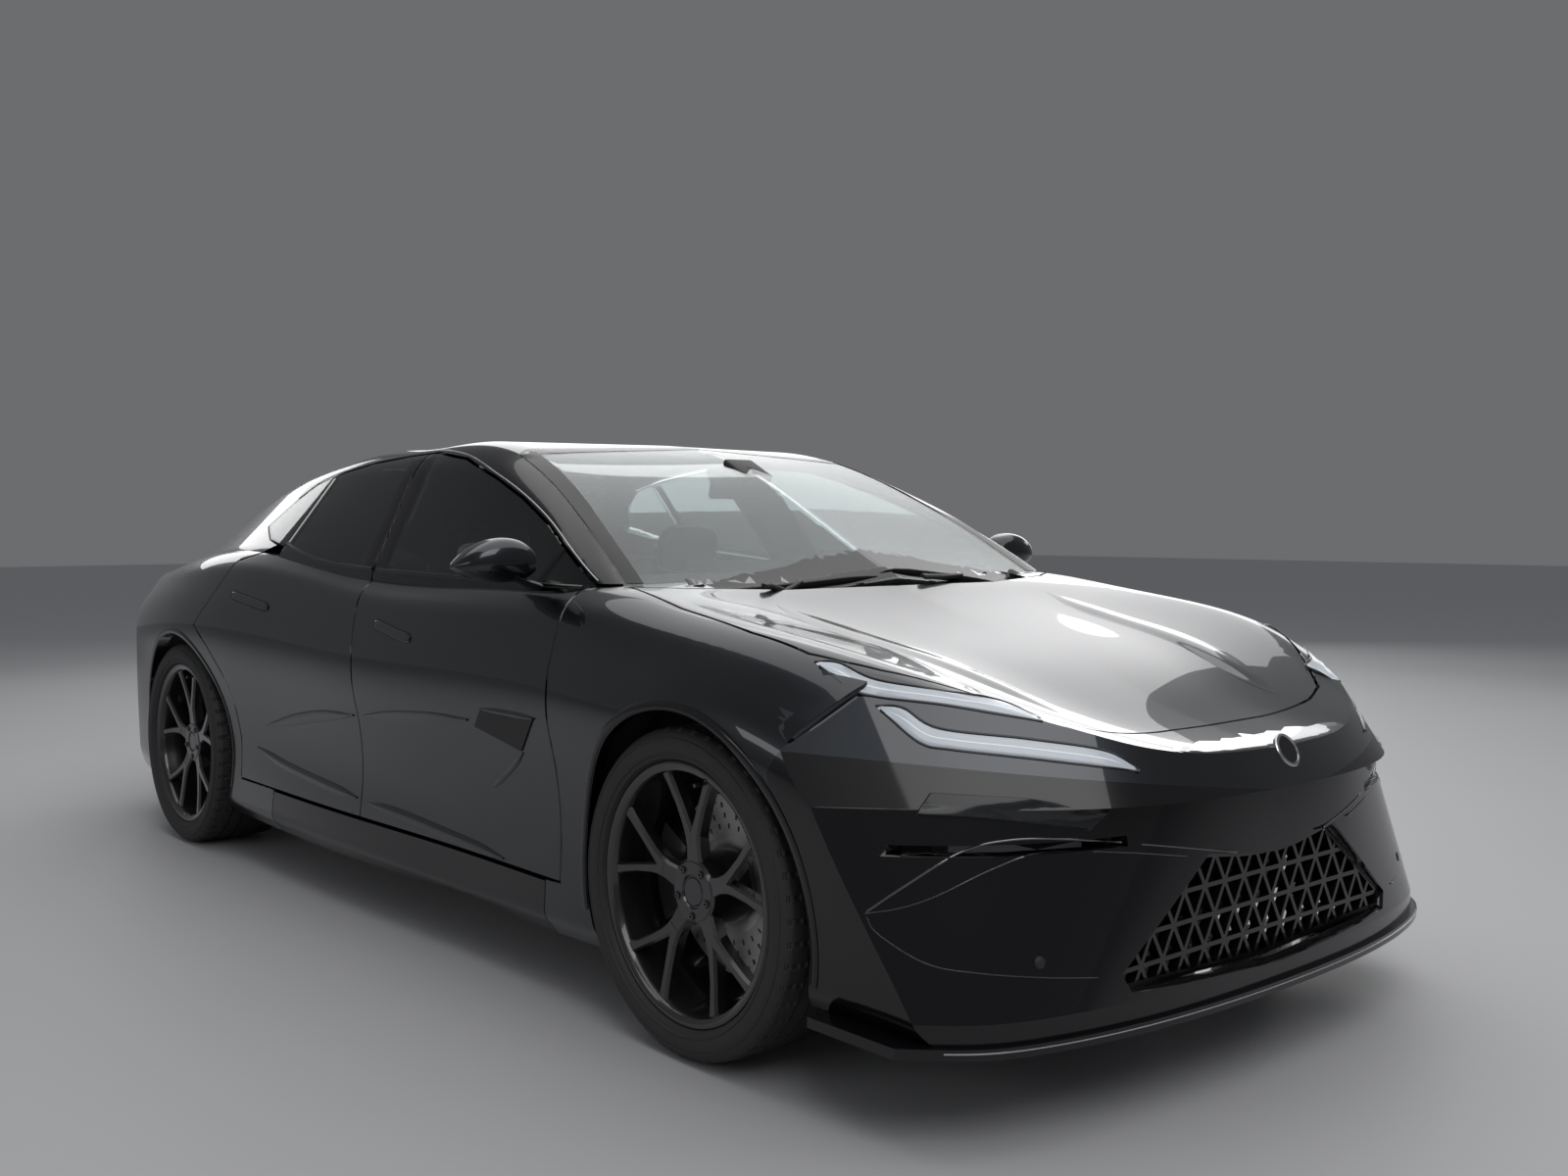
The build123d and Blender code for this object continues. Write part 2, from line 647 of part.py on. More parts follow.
with BuildPart() as diffuser:
    with BuildSketch(Plane.XZ.offset(-diffuser_y)):
        with BuildLine():
            Polyline((-2100, 175), (-2150, 175), (-2520, 320), (-2520, 348), (-2480, 348), (-2100, 203), close=True)
        make_face()
    extrude(amount=2 * diffuser_y)
    for y in (-420, -210, 0, 210, 420):
        with BuildSketch(Plane.XZ.offset(-y - 5)):
            with BuildLine():
                Polyline((-2150, 176), (-2480, 200), (-2515, 325), close=True)
            make_face()
        extrude(amount=10)
save(diffuser.part, "rear_diffuser")

# Floor pan and inner body, hollowed for the cabin, luggage, wheels and running gear
with BuildPart() as pan:
    add(inner_skin)
    add(box((-2395, 0, 170), (2230, 1100, 1052)), mode=Mode.INTERSECT)
    add(drum(front_axle_x, wheelhouse_radius, front_wheelhouse_y, 1200), mode=Mode.SUBTRACT)
    add(drum(rear_axle_x, rear_wheelhouse_radius, rear_wheelhouse_y, 1200), mode=Mode.SUBTRACT)
    add(box((1950, 470, 100), (2300, 1200, 1300)), mode=Mode.SUBTRACT)
    add(box((-2500, 600, 100), (-1785, 1200, 1300)), mode=Mode.SUBTRACT)
    add(flat(screen_outline, 930, 1300, touch), mode=Mode.SUBTRACT)
    # cabin, from footwell to rear seat, and the doorways above the sills
    add(box((-930, -10, 318), (1090, 690, 1200)), mode=Mode.SUBTRACT)
    add(box((-1160, -10, 640), (-900, 560, 1200)), mode=Mode.SUBTRACT)
    add(box((40, 600, 350), (1058, 1200, 1200)), mode=Mode.SUBTRACT)
    add(upright([(-60, 350), (-60, 1300), (-900, 1300), (-900, 900), (-860, 600), (-860, 350)], 600, 1200),
        mode=Mode.SUBTRACT)
    # the doors, and the posts of the side frames
    for outline in (front_door, rear_door):
        add(upright(outline, door_inner_y - pillar_gap, 1200, half_gap + 2), mode=Mode.SUBTRACT)
    add(box((middle_post_x[0] - touch, 730 - touch, post_low_z - touch), (middle_post_x[1] + touch, 1200, 1300)),
        mode=Mode.SUBTRACT)
    add(box((post_x[0] - touch, post_y[0] - touch, post_low_z - touch), (post_x[1] + touch, 1200, 1300)),
        mode=Mode.SUBTRACT)
    # luggage spaces and the room under the lids
    add(box((1330, -10, 560), (2160, 440, 1300)), mode=Mode.SUBTRACT)
    add(flat(bonnet_outline, 640, 1300, 8), mode=Mode.SUBTRACT)
    add(box((-2340, -10, 620), (-1120, 560, 1300)), mode=Mode.SUBTRACT)
    add(flat(gate_outline, 780, 1300, 8), mode=Mode.SUBTRACT)
    # battery bay, axle bays and the space over the diffuser
    add(box((-2500, -10, 100), (-1990, diffuser_y + touch, 590)), mode=Mode.SUBTRACT)
    add(box((-1000, -10, 100), (1100, 722, 292)), mode=Mode.SUBTRACT)
    add(box((1230, -10, 100), (2260, 470, 500)), mode=Mode.SUBTRACT)
    add(box((-1960, -10, 100), (-1030, 620, 560)), mode=Mode.SUBTRACT)
    for x, low_y, high_y in ((front_axle_x, 290, 520), (rear_axle_x, 290, 660)):
        add(box((x - 215, low_y, 100), (x + 215, high_y, 600)), mode=Mode.SUBTRACT)
    # jack pads
    for x in (950, -850):
        add(box((x - 32, 788, 150), (x + 32, 852, 171)))
save_pair(pan.part, "floor_pan")

# Battery and drive units, plain blocks at their real places
with BuildPart() as battery:
    add(box((-995, -718, 158), (1095, 718, 292 - touch)))
save(battery.part, "battery_pack")
with BuildPart() as drives:
    add(box((1460, -260, 190), (1780, 260, 500 - touch)))
    add(box((-1620, -280, 190), (-1240, 280, 560 - touch)))
save(drives.part, "drive_units")

# Wheels and tyres, made on the left and mirrored
spoke_count = 5
bead_radius = rim_radius - 14
lip_from_edge = 24
hub_bore = stub_radius + touch


def tyre_part(x, centre_y, tyre_width):
    shoulder = tyre_radius - 8
    bulge = rim_radius + 36
    half = [(lip_from_edge, bead_radius), (lip_from_edge, rim_radius + touch), (8, rim_radius + 5)]
    with BuildPart() as tyre:
        with BuildSketch(Plane.YZ.offset(x)):
            with BuildLine():
                ends = []
                for side in (-1, 1):
                    edge_y = centre_y + side * tyre_width / 2
                    low = [(edge_y - side * a, hub_z + r) for a, r in half]
                    Polyline(*low)
                    top = (edge_y - side * 16, hub_z + shoulder)
                    ThreePointArc(low[-1], (edge_y, hub_z + bulge), top)
                    crown = (edge_y - side * 40, hub_z + tyre_radius)
                    Line(top, crown)
                    ends.append((low[0], crown))
                Line(ends[0][0], ends[1][0])
                Line(ends[0][1], ends[1][1])
            make_face()
        revolve(axis=Axis((x, 0, hub_z), (0, 1, 0)))
    return tyre.part


def rim_part(x, centre_y, tyre_width, disc_y):
    # Barrel, five split spokes, hub, and the brake disc bolted to it
    outer_lip = centre_y + tyre_width / 2 - lip_from_edge
    inner_lip = centre_y - tyre_width / 2 + lip_from_edge
    hub_face = outer_lip - 34
    with BuildPart() as rim:
        with BuildSketch(Plane.YZ.offset(x)):
            with BuildLine():
                Polyline((inner_lip - 10, hub_z + rim_radius), (inner_lip, hub_z + rim_radius),
                         (inner_lip, hub_z + bead_radius), (outer_lip, hub_z + bead_radius),
                         (outer_lip, hub_z + rim_radius), (outer_lip + 8, hub_z + rim_radius),
                         (outer_lip + 8, hub_z + bead_radius - 14), (outer_lip - 30, hub_z + bead_radius - 17),
                         (inner_lip - 10, hub_z + bead_radius - 9), close=True)
            make_face()
        revolve(axis=Axis((x, 0, hub_z), (0, 1, 0)))
        add(drum(x, 78, disc_y, hub_face))
        for side in (-1, 1):
            with BuildSketch(Plane.XZ.offset(14 - outer_lip)):
                with Locations((x, hub_z)):
                    for k in range(spoke_count):
                        near_angle = radians(90 + 360 / spoke_count * k + side * 3)
                        far_angle = radians(90 + 360 / spoke_count * k + side * 17)
                        corners = [(r * cos(a) - w * sin(a), r * sin(a) + w * cos(a))
                                   for r, a, w in ((50, near_angle, 17), (50, near_angle, -17),
                                                   (bead_radius - 8, far_angle, -13), (bead_radius - 8, far_angle, 13))]
                        Polygon(*corners, align=None)
            extrude(amount=46)
        add(drum(x, disc_radius, disc_y - disc_thickness / 2, disc_y + disc_thickness / 2))
        add(drum(x, hub_bore, 500, 1100), mode=Mode.SUBTRACT)
        add(drum(x, 36, hub_face - 26, hub_face - 6))
    return rim.part


# Knuckles: casting, stub axle, ball joint eyes and brake caliper
caliper_gap = 4
caliper_depth = 36
ball_radius = 14
arm_low_z = 215
arm_high_z = 530


def caliper_part(x, disc_y, side):
    middle = 180 if side < 0 else 0
    low_y = disc_y - disc_thickness / 2 - caliper_depth
    high_y = disc_y + disc_thickness / 2 + caliper_depth
    with BuildPart() as caliper:
        with BuildSketch(Plane.XZ.offset(-high_y)):
            with BuildLine():
                p = [(x + r * cos(radians(middle + a)), hub_z + r * sin(radians(middle + a)))
                     for r, a in ((139, -30), (233, -30), (233, 0), (233, 30), (139, 30), (139, 0))]
                Line(p[0], p[1])
                ThreePointArc(p[1], p[2], p[3])
                Line(p[3], p[4])
                ThreePointArc(p[4], p[5], p[0])
            make_face()
        extrude(amount=high_y - low_y)
        add(drum(x, disc_radius + caliper_gap, low_y + caliper_depth - caliper_gap,
                 high_y - caliper_depth + caliper_gap), mode=Mode.SUBTRACT)
    return caliper.part


def knuckle_part(x, disc_y, pivot_y, stub_end, side):
    with BuildPart() as casting:
        add(drum(x, stub_radius, pivot_y, stub_end))
        with BuildSketch(Plane.XZ.offset(-(pivot_y + 22))):
            with BuildLine():
                Polyline((x - 34, arm_low_z + 8), (x + 34, arm_low_z + 8), (x + 62, hub_z), (x + 30, arm_high_z - 8),
                         (x - 30, arm_high_z - 8), (x - 62, hub_z), close=True)
            make_face()
        extrude(amount=44)
        add(box((x + side * 100 - 75, pivot_y - 10, hub_z - 45),
                (x + side * 100 + 75, disc_y - disc_thickness / 2 - 6, hub_z + 45)))
        add(caliper_part(x, disc_y, side))
        for z in (arm_low_z, arm_high_z):
            with BuildSketch(Plane.XY.offset(z - 22)):
                with Locations((x, pivot_y)):
                    Circle(26)
            extrude(amount=44)
        for low, high in ((arm_low_z - 40, arm_low_z + 22 + touch), (arm_high_z - 20 - touch, arm_high_z + 40)):
            with BuildSketch(Plane.XY.offset(low)):
                with Locations((x, pivot_y)):
                    Circle(ball_radius + touch)
            extrude(amount=high - low, mode=Mode.SUBTRACT)
        add(box((x - 150, pivot_y - 22, hub_z - 60), (x - 40, pivot_y + 2, hub_z - 30)))
    return casting.part


rear_disc_y = 790
rear_pivot_y = 730
stub_back = lip_from_edge + 34 + 26 + touch
front_stub_end = front_tyre_y + front_tyre_width / 2 - stub_back
rear_stub_end = rear_tyre_y + rear_tyre_width / 2 - stub_back
for place, x, centre_y, tyre_width, disc_y in (("front", front_axle_x, front_tyre_y, front_tyre_width, front_disc_y),
                                               ("rear", rear_axle_x, rear_tyre_y, rear_tyre_width, rear_disc_y)):
    save_sides(tyre_part(x, centre_y, tyre_width), "tyre_" + place)
    save_sides(rim_part(x, centre_y, tyre_width, disc_y), "wheel_" + place)
save_sides(knuckle_part(front_axle_x, front_disc_y, kingpin_y, front_stub_end, -1), "front_knuckle")
save_pair(knuckle_part(rear_axle_x, rear_disc_y, rear_pivot_y, rear_stub_end, 1), "rear_knuckles")

# Axles: crossbeams with wishbones and ball pins
for place, x, pivot_y, wall_y in (("front", front_axle_x, kingpin_y, 470), ("rear", rear_axle_x, rear_pivot_y, 620)):
    with BuildPart() as axle:
        for z, near_y, spread in ((arm_low_z - 47, 330, 190), (arm_high_z + 30, 390, 130)):
            with BuildSketch(Plane.XY.offset(z)):
                with BuildLine():
                    Polyline((x - spread, near_y), (x - spread + 60, near_y), (x, pivot_y - 60), (x + spread - 60, near_y),
                             (x + spread, near_y), (x + 26, pivot_y + 12), (x - 26, pivot_y + 12), close=True)
                make_face()
            extrude(amount=20)
        for z in (arm_low_z - 30, arm_high_z - 20):
            with BuildSketch(Plane.XY.offset(z)):
                with Locations((x, pivot_y)):
                    Circle(ball_radius)
            extrude(amount=52)
        for low_x, high_x in ((x - 265, x - 225), (x + 225, x + 265)):
            add(box((low_x, -1, arm_low_z - 55), (high_x, wall_y - touch, arm_low_z - 15)))
        add(box((x - 265, 320, arm_low_z - 55), (x + 265, 430, arm_low_z - 15)))
        for low_x, high_x in ((x - 130, x - 90), (x + 90, x + 130)):
            add(box((low_x, 390, arm_low_z - 20), (high_x, 430, arm_high_z + 50)))
    save_pair(axle.part, place + "_axle")

# Cabin: dashboard with console, seats, steering wheel
column_tilt = 24
column_plane = Plane(origin=(560, 400, 905), x_dir=(0, 1, 0),
                     z_dir=(-cos(radians(column_tilt)), 0, sin(radians(column_tilt))))
column_length = 300
column_radius = 22
cabin_wall_y = 690
cabin_floor = 318
firewall_x = 1090
with BuildPart() as dash:
    with BuildSketch(Plane.XZ.offset(touch - cabin_wall_y)):
        with BuildLine():
            Polyline((firewall_x - touch, 640), (firewall_x - touch, 1030), (1040, 1052), (800, 1010), (690, 960),
                     (700, 900), (820, 820), (860, 640), close=True)
        make_face()
    extrude(amount=2 * (cabin_wall_y - touch))
    with BuildSketch(Plane.XZ.offset(-140)):
        with BuildLine():
            Polyline((1000, cabin_floor + touch), (1000, 760), (780, 760), (-120, 640), (-160, 600),
                     (-160, cabin_floor + touch), close=True)
        make_face()
    extrude(amount=280)
    with BuildSketch(column_plane):
        Circle(column_radius + touch)
    extrude(amount=-column_length - touch, mode=Mode.SUBTRACT)
save(dash.part, "dashboard")
with BuildPart() as steering_wheel:
    with BuildSketch(column_plane):
        Circle(196)
        Circle(168, mode=Mode.SUBTRACT)
    extrude(amount=12, both=True)
    with BuildSketch(column_plane):
        Circle(58)
        Rectangle(350, 38)
        with Locations((0, -90)):
            Rectangle(38, 170)
    extrude(amount=10, both=True)
    with BuildSketch(column_plane):
        Circle(column_radius)
    extrude(amount=-column_length)
save(steering_wheel.part, "steering_wheel")

with BuildPart() as seat:
    with BuildSketch(Plane.XZ.offset(-650)):
        with BuildLine():
            Polyline((500, cabin_floor + touch), (560, 480), (510, 530), (80, 500), (-70, 1000), (-130, 1010),
                     (-140, 960), (-40, 420), (0, cabin_floor + touch), close=True)
        make_face()
    extrude(amount=500)
    with BuildSketch(Plane.XZ.offset(-530)):
        with BuildLine():
            Polyline((-80, 990), (-110, 1190), (-180, 1200), (-170, 1060), (-125, 990), close=True)
        make_face()
    extrude(amount=260)
save_pair(seat.part, "front_seats")
with BuildPart() as bench:
    with BuildSketch(Plane.XZ.offset(-640)):
        with BuildLine():
            Polyline((-430, cabin_floor + touch), (-400, 470), (-440, 510), (-830, 470), (-905, 560),
                     (-905, cabin_floor + touch), close=True)
        make_face()
    extrude(amount=1280)
    with BuildSketch(Plane.XZ.offset(-545)):
        with BuildLine():
            Polyline((-800, 480), (-960, 1010), (-1040, 1020), (-1060, 980), (-920, 642), (-900, 500), close=True)
        make_face()
    extrude(amount=1090)
save(bench.part, "rear_seat")
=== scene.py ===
# Electric sports sedan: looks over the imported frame. Metres, +X forward, +Y left, Z up.
import bpy
import bmesh
import math
import numpy as np
from mathutils import Matrix, Vector
from mathutils.bvhtree import BVHTree
from mathutils.interpolate import poly_3d_calc


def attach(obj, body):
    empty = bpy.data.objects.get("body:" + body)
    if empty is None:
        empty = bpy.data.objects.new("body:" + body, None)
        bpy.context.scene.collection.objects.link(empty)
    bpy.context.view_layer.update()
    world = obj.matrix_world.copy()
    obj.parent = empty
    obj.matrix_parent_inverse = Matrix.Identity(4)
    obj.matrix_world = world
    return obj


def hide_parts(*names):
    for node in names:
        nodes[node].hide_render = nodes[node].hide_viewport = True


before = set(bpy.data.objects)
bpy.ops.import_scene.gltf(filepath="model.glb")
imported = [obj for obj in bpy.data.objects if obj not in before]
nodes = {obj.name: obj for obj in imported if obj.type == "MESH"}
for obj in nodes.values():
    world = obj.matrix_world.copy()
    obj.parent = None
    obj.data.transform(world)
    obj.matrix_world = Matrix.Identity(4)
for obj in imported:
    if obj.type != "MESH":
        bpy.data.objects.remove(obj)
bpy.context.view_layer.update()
mm = 0.001
cos, sin, pi, radians = math.cos, math.sin, math.pi, math.radians

# Sizes of the car, in millimetres as in its source
front_axle_x = 1629.5
rear_axle_x = -1439.5
hub_z = 372.0
tyre_radius = 372.0
arch_lip_radius = 423
# Place along the car, middle and width of each wheel, and the middle of its brake disc
wheels = {
    "front": (front_axle_x, 842.5, 265.0, 800.0),
    "rear": (rear_axle_x, 829.0, 305.0, 790.0),
}
# Sections of the lower body: x, height of the middle, (half width, height) of five corners, foot height
lower_body = [
    (2629.5, 655, (300, 660), (560, 735), (975, 600), (960, 430), (930, 235), 200),
    (2330, 738, (340, 744), (640, 812), (978, 640), (960, 440), (930, 235), 190),
    (2050, 838, (430, 840), (800, 908), (990, 720), (960, 460), (930, 235), 180),
    (1780, 908, (500, 908), (872, 966), (1008, 775), (955, 480), (930, 220), 170),
    (1430, 1003, (540, 992), (888, 1010), (1006, 775), (945, 500), (930, 210), 160),
    (1280, 1048, (560, 1032), (894, 1024), (1000, 772), (937, 500), (938, 207), 157),
    (1050, 1050, (560, 1036), (905, 1036), (988, 770), (930, 500), (945, 205), 155),
    (0, 1000, (600, 1000), (912, 1048), (980, 765), (925, 490), (958, 205), 155),
    (-700, 1030, (620, 1030), (905, 1112), (994, 805), (930, 500), (955, 205), 155),
    (-1440, 1020, (600, 1020), (888, 1092), (1014, 845), (955, 520), (940, 215), 160),
    (-1950, 960, (560, 975), (800, 1034), (958, 830), (955, 560), (930, 260), 180),
    (-2350, 930, (520, 940), (700, 1002), (850, 800), (890, 560), (880, 300), 220),
    (-2629.5, 900, (480, 905), (620, 975), (720, 780), (780, 560), (800, 320), 240),
]
lower_shares = (0.9, 0.7, 0.7, 0.9, 0.6)
sill_turn_in = 40
# Sections of the cabin: x, height of the middle, (half width, height) of the roof edge and of the belt
cabin = [
    (1450, 985, (700, 930), (800, 900)),
    (1200, 1116, (815, 1022), (872, 960)),
    (950, 1248, (768, 1172), (884, 1030)),
    (690, 1366, (706, 1304), (888, 1035)),
    (430, 1428, (668, 1400), (890, 1035)),
    (0, 1454, (654, 1439), (893, 1040)),
    (-450, 1454, (643, 1432), (893, 1062)),
    (-850, 1430, (630, 1398), (884, 1085)),
    (-1270, 1367, (603, 1333), (850, 1080)),
    (-1650, 1284, (566, 1242), (800, 1040)),
    (-2050, 1172, (530, 1130), (740, 1000)),
    (-2400, 1062, (505, 1030), (700, 960)),
    (-2629.5, 990, (480, 960), (660, 900)),
]
cabin_shares = (0.45, 0.2)
cabin_floor_z = 760
cabin_turn_in = 5
sides = (("left", 1), ("right", -1))


# The painted forms again as dense grids, to take smooth normals and heights from
def lower_points(row):
    top, *corners, foot = row[1:]
    return [(0, top), *corners, (corners[-1][0] - sill_turn_in, foot)]


def cabin_points(row):
    top, edge, belt = row[1:]
    return [(0, top), edge, belt, (belt[0] - cabin_turn_in, cabin_floor_z)]


def section_path(points, shares, run_steps=5, arc_steps=7):
    # Even samples along a section: straight runs with an arc at each corner
    points = [np.array(p, float) for p in points]
    path = []
    here = points[0]
    for i, share in enumerate(shares, start=1):
        before, corner, after = points[i - 1], points[i], points[i + 1]
        back = (before - corner) / np.linalg.norm(before - corner)
        ahead = (after - corner) / np.linalg.norm(after - corner)
        reach = share * min(np.linalg.norm(before - corner), np.linalg.norm(after - corner)) / 2
        start, end = corner + back * reach, corner + ahead * reach
        half = math.acos(max(-1, min(1, -float(back @ ahead)))) / 2
        radius = reach / math.tan(half)
        centre = corner + (back + ahead) / np.linalg.norm(back + ahead) * radius / cos(half)
        path += [here + (start - here) * k / run_steps for k in range(run_steps)]
        a0 = start - centre
        a1 = end - centre
        for k in range(arc_steps):
            t = k / arc_steps
            d = a0 * sin((1 - t) * 2 * half) / sin(2 * half) + a1 * sin(t * 2 * half) / sin(2 * half)
            path.append(centre + d)
        here = end
    last = points[-1]
    path += [here + (last - here) * k / run_steps for k in range(run_steps + 1)]
    return np.array(path)


def cubic_through(xs, values, at):
    # Natural cubic spline through the stations, one curve a column of values
    n = len(xs)
    h = np.diff(xs)
    system = np.eye(n)
    right = np.zeros((n, values.shape[1]))
    slope = np.diff(values, axis=0) / h[:, None]
    for i in range(1, n - 1):
        system[i, i - 1], system[i, i], system[i, i + 1] = h[i - 1], 2 * (h[i - 1] + h[i]), h[i]
        right[i] = 6 * (slope[i] - slope[i - 1])
    bend = np.linalg.solve(system, right)
    k = np.clip(np.searchsorted(xs, at) - 1, 0, n - 2)
    a, b, hk = (xs[k + 1] - at)[:, None], (at - xs[k])[:, None], h[k][:, None]
    return (bend[k] * a ** 3 + bend[k + 1] * b ** 3) / (6 * hk) + \
        (values[k] / hk - bend[k] * hk / 6) * a + (values[k + 1] / hk - bend[k + 1] * hk / 6) * b


form_rows = 261
rim_samples = 161


def lofted(table, points_of, shares):
    # Grid of a half form through its sections
    rows = sorted(table)
    xs = np.array([r[0] for r in rows], float)
    paths = np.array([section_path(points_of(r), shares) for r in rows])
    at = np.linspace(xs[0], xs[-1], form_rows)
    flat = cubic_through(xs, paths.reshape(len(xs), -1), at).reshape(form_rows, -1, 2)
    return np.concatenate([np.broadcast_to(at[:, None, None], (*flat.shape[:2], 1)), flat], axis=2)


def nose_rim(outline, z):
    # Left half of an outline of the nose, smooth across the middle
    whole = np.array([(x, -y, z) for x, y in outline[:0:-1]] + [(x, y, z) for x, y in outline], float)
    run = np.concatenate([[0], np.cumsum(np.linalg.norm(np.diff(whole, axis=0), axis=1))])
    return cubic_through(run, whole, np.linspace(run[-1] / 2, run[-1], rim_samples))


def nose_wall(low, high, steps=16):
    return np.array([low + (high - low) * k / steps for k in range(steps + 1)])


class Form:
    # A dense grid of one half form and its mirror image, with a smooth normal at each point
    def __init__(self, grid):
        grid = grid * mm
        rows, count = grid.shape[:2]
        normal = np.cross(np.gradient(grid, axis=0), np.gradient(grid, axis=1))
        normal /= np.linalg.norm(normal, axis=2)[:, :, None]
        self.points, self.normals = (
            [Vector(p) for p in np.concatenate([half.reshape(-1, 3), (half * (1, -1, 1)).reshape(-1, 3)])]
            for half in (grid, normal))
        if self.normals[0].x + self.normals[0].z < 0:
            self.normals = [-n for n in self.normals]
        corners = [half + i * count + j for half in (0, rows * count)
                   for i in range(rows - 1) for j in range(count - 1)]
        self.faces = [(a, a + 1, a + count + 1, a + count) for a in corners]
        self.tree = BVHTree.FromPolygons(self.points, self.faces)

    def near(self, point):
        # Nearest place on the form, its smooth normal and the gap to it
        place, flat_normal, index, gap = self.tree.find_nearest(point)
        face = self.faces[index]
        normal = Vector()
        for i, weight in zip(face, poly_3d_calc([self.points[i] for i in face], place)):
            normal += self.normals[i] * weight
        return place, normal.normalized(), gap


lip_z = 632
chin_z = 205
nose_outline = [(2569.5, 0), (2548, 300), (2508, 460), (2435, 610), (2335, 735), (2220, 845), (1960, 1090)]
chin_foot = [(2530, 0), (2515, 380), (2455, 700), (2400, 830), (2300, 940), (2180, 1040), (1960, 1160)]
chin_head = [(2505, 0), (2484, 330), (2425, 540), (2350, 700), (2260, 815), (2160, 910), (1960, 1090)]
lip_rim = nose_rim(nose_outline, lip_z)
foot_rim = nose_rim(chin_foot, chin_z + 40)
lip_rise = np.array([-0.55, -0.30, 1.0]) * 400
foot_drop = np.array([0, 0, 130])
forms = [Form(grid) for grid in (
    lofted(lower_body, lower_points, lower_shares), lofted(cabin, cabin_points, cabin_shares),
    nose_wall(lip_rim, lip_rim + lip_rise), nose_wall(foot_rim, nose_rim(chin_head, lip_z)),
    nose_wall(foot_rim - foot_drop, foot_rim))]


# Finishes
def add_node(tree, kind, inputs, operation=None):
    # A node with its inputs set, each from a value or from the output that it is linked to
    node = tree.nodes.new("ShaderNode" + kind)
    if operation:
        node.operation = operation
    for key, value in inputs.items():
        if isinstance(value, bpy.types.NodeSocket):
            tree.links.new(value, node.inputs[key])
        else:
            node.inputs[key].default_value = value
    return node


def fine_surface():
    # Colour drift, uneven gloss and fine relief, shared by every finish
    group = bpy.data.node_groups.new("fine surface", "ShaderNodeTree")
    for name, kind, default in (
            ("Color", "Color", (0.5, 0.5, 0.5, 1)), ("Drift", "Float", 0.1), ("Roughness", "Float", 0.4),
            ("Gloss Drift", "Float", 0.05), ("Drift Scale", "Float", 6.0), ("Grain Scale", "Float", 300.0),
            ("Grain Height", "Float", 0.2)):
        socket = group.interface.new_socket(name=name, in_out="INPUT", socket_type="NodeSocket" + kind)
        socket.default_value = default
    for name, kind in (("Color", "Color"), ("Roughness", "Float"), ("Normal", "Vector")):
        group.interface.new_socket(name=name, in_out="OUTPUT", socket_type="NodeSocket" + kind)
    source = group.nodes.new("NodeGroupInput").outputs
    sink = group.nodes.new("NodeGroupOutput").inputs
    place = add_node(group, "TexCoord", {}).outputs["Object"]
    drift, grain = (add_node(group, "TexNoise", {"Vector": place, "Scale": source[scale], "Detail": detail})
                    for scale, detail in (("Drift Scale", 5), ("Grain Scale", 3)))
    centred = add_node(group, "Math", {0: drift.outputs["Fac"], 1: 0.5}, "SUBTRACT").outputs[0]
    gain = add_node(group, "Math", {0: centred, 1: source["Drift"], 2: 1}, "MULTIPLY_ADD")
    tint = add_node(group, "VectorMath", {0: source["Color"], "Scale": gain.outputs[0]}, "SCALE")
    gloss = add_node(group, "Math", {0: centred, 1: source["Gloss Drift"], 2: source["Roughness"]},
                     "MULTIPLY_ADD")
    gloss.use_clamp = True
    relief = add_node(group, "Bump", {"Distance": 0.0005, "Strength": source["Grain Height"],
                                      "Height": grain.outputs["Fac"]})
    for name, node in (("Color", tint), ("Roughness", gloss), ("Normal", relief)):
        group.links.new(node.outputs[0], sink[name])
    return group


surface_group = fine_surface()


def finish(name, color, rough, drift=0.15, gloss_drift=0.05, drift_scale=5.0, grain_scale=400.0, grain=0.05,
           metal=0.0, coat=0.0, coat_rough=0.03, through=0.0, glow=0.0, glow_color=(0, 0, 0), ior=1.5,
           specular=0.5):
    material = bpy.data.materials.new(name)
    material.use_nodes = True
    material.diffuse_color = (*color, 1)
    tree = material.node_tree
    shader = tree.nodes["Principled BSDF"].inputs
    group = tree.nodes.new("ShaderNodeGroup")
    group.node_tree = surface_group
    for socket, value in (("Color", (*color, 1)), ("Drift", drift), ("Roughness", rough),
                          ("Gloss Drift", gloss_drift), ("Drift Scale", drift_scale),
                          ("Grain Scale", grain_scale), ("Grain Height", grain)):
        group.inputs[socket].default_value = value
    tree.links.new(group.outputs["Color"], shader["Base Color"])
    tree.links.new(group.outputs["Roughness"], shader["Roughness"])
    if grain:
        tree.links.new(group.outputs["Normal"], shader["Normal"])
    for socket, value in (("Metallic", metal), ("Coat Weight", coat), ("Coat Roughness", coat_rough),
                          ("Transmission Weight", through), ("IOR", ior), ("Specular IOR Level", specular)):
        shader[socket].default_value = value
    if glow:
        shader["Emission Color"].default_value = (*glow_color, 1)
        shader["Emission Strength"].default_value = glow
    return material


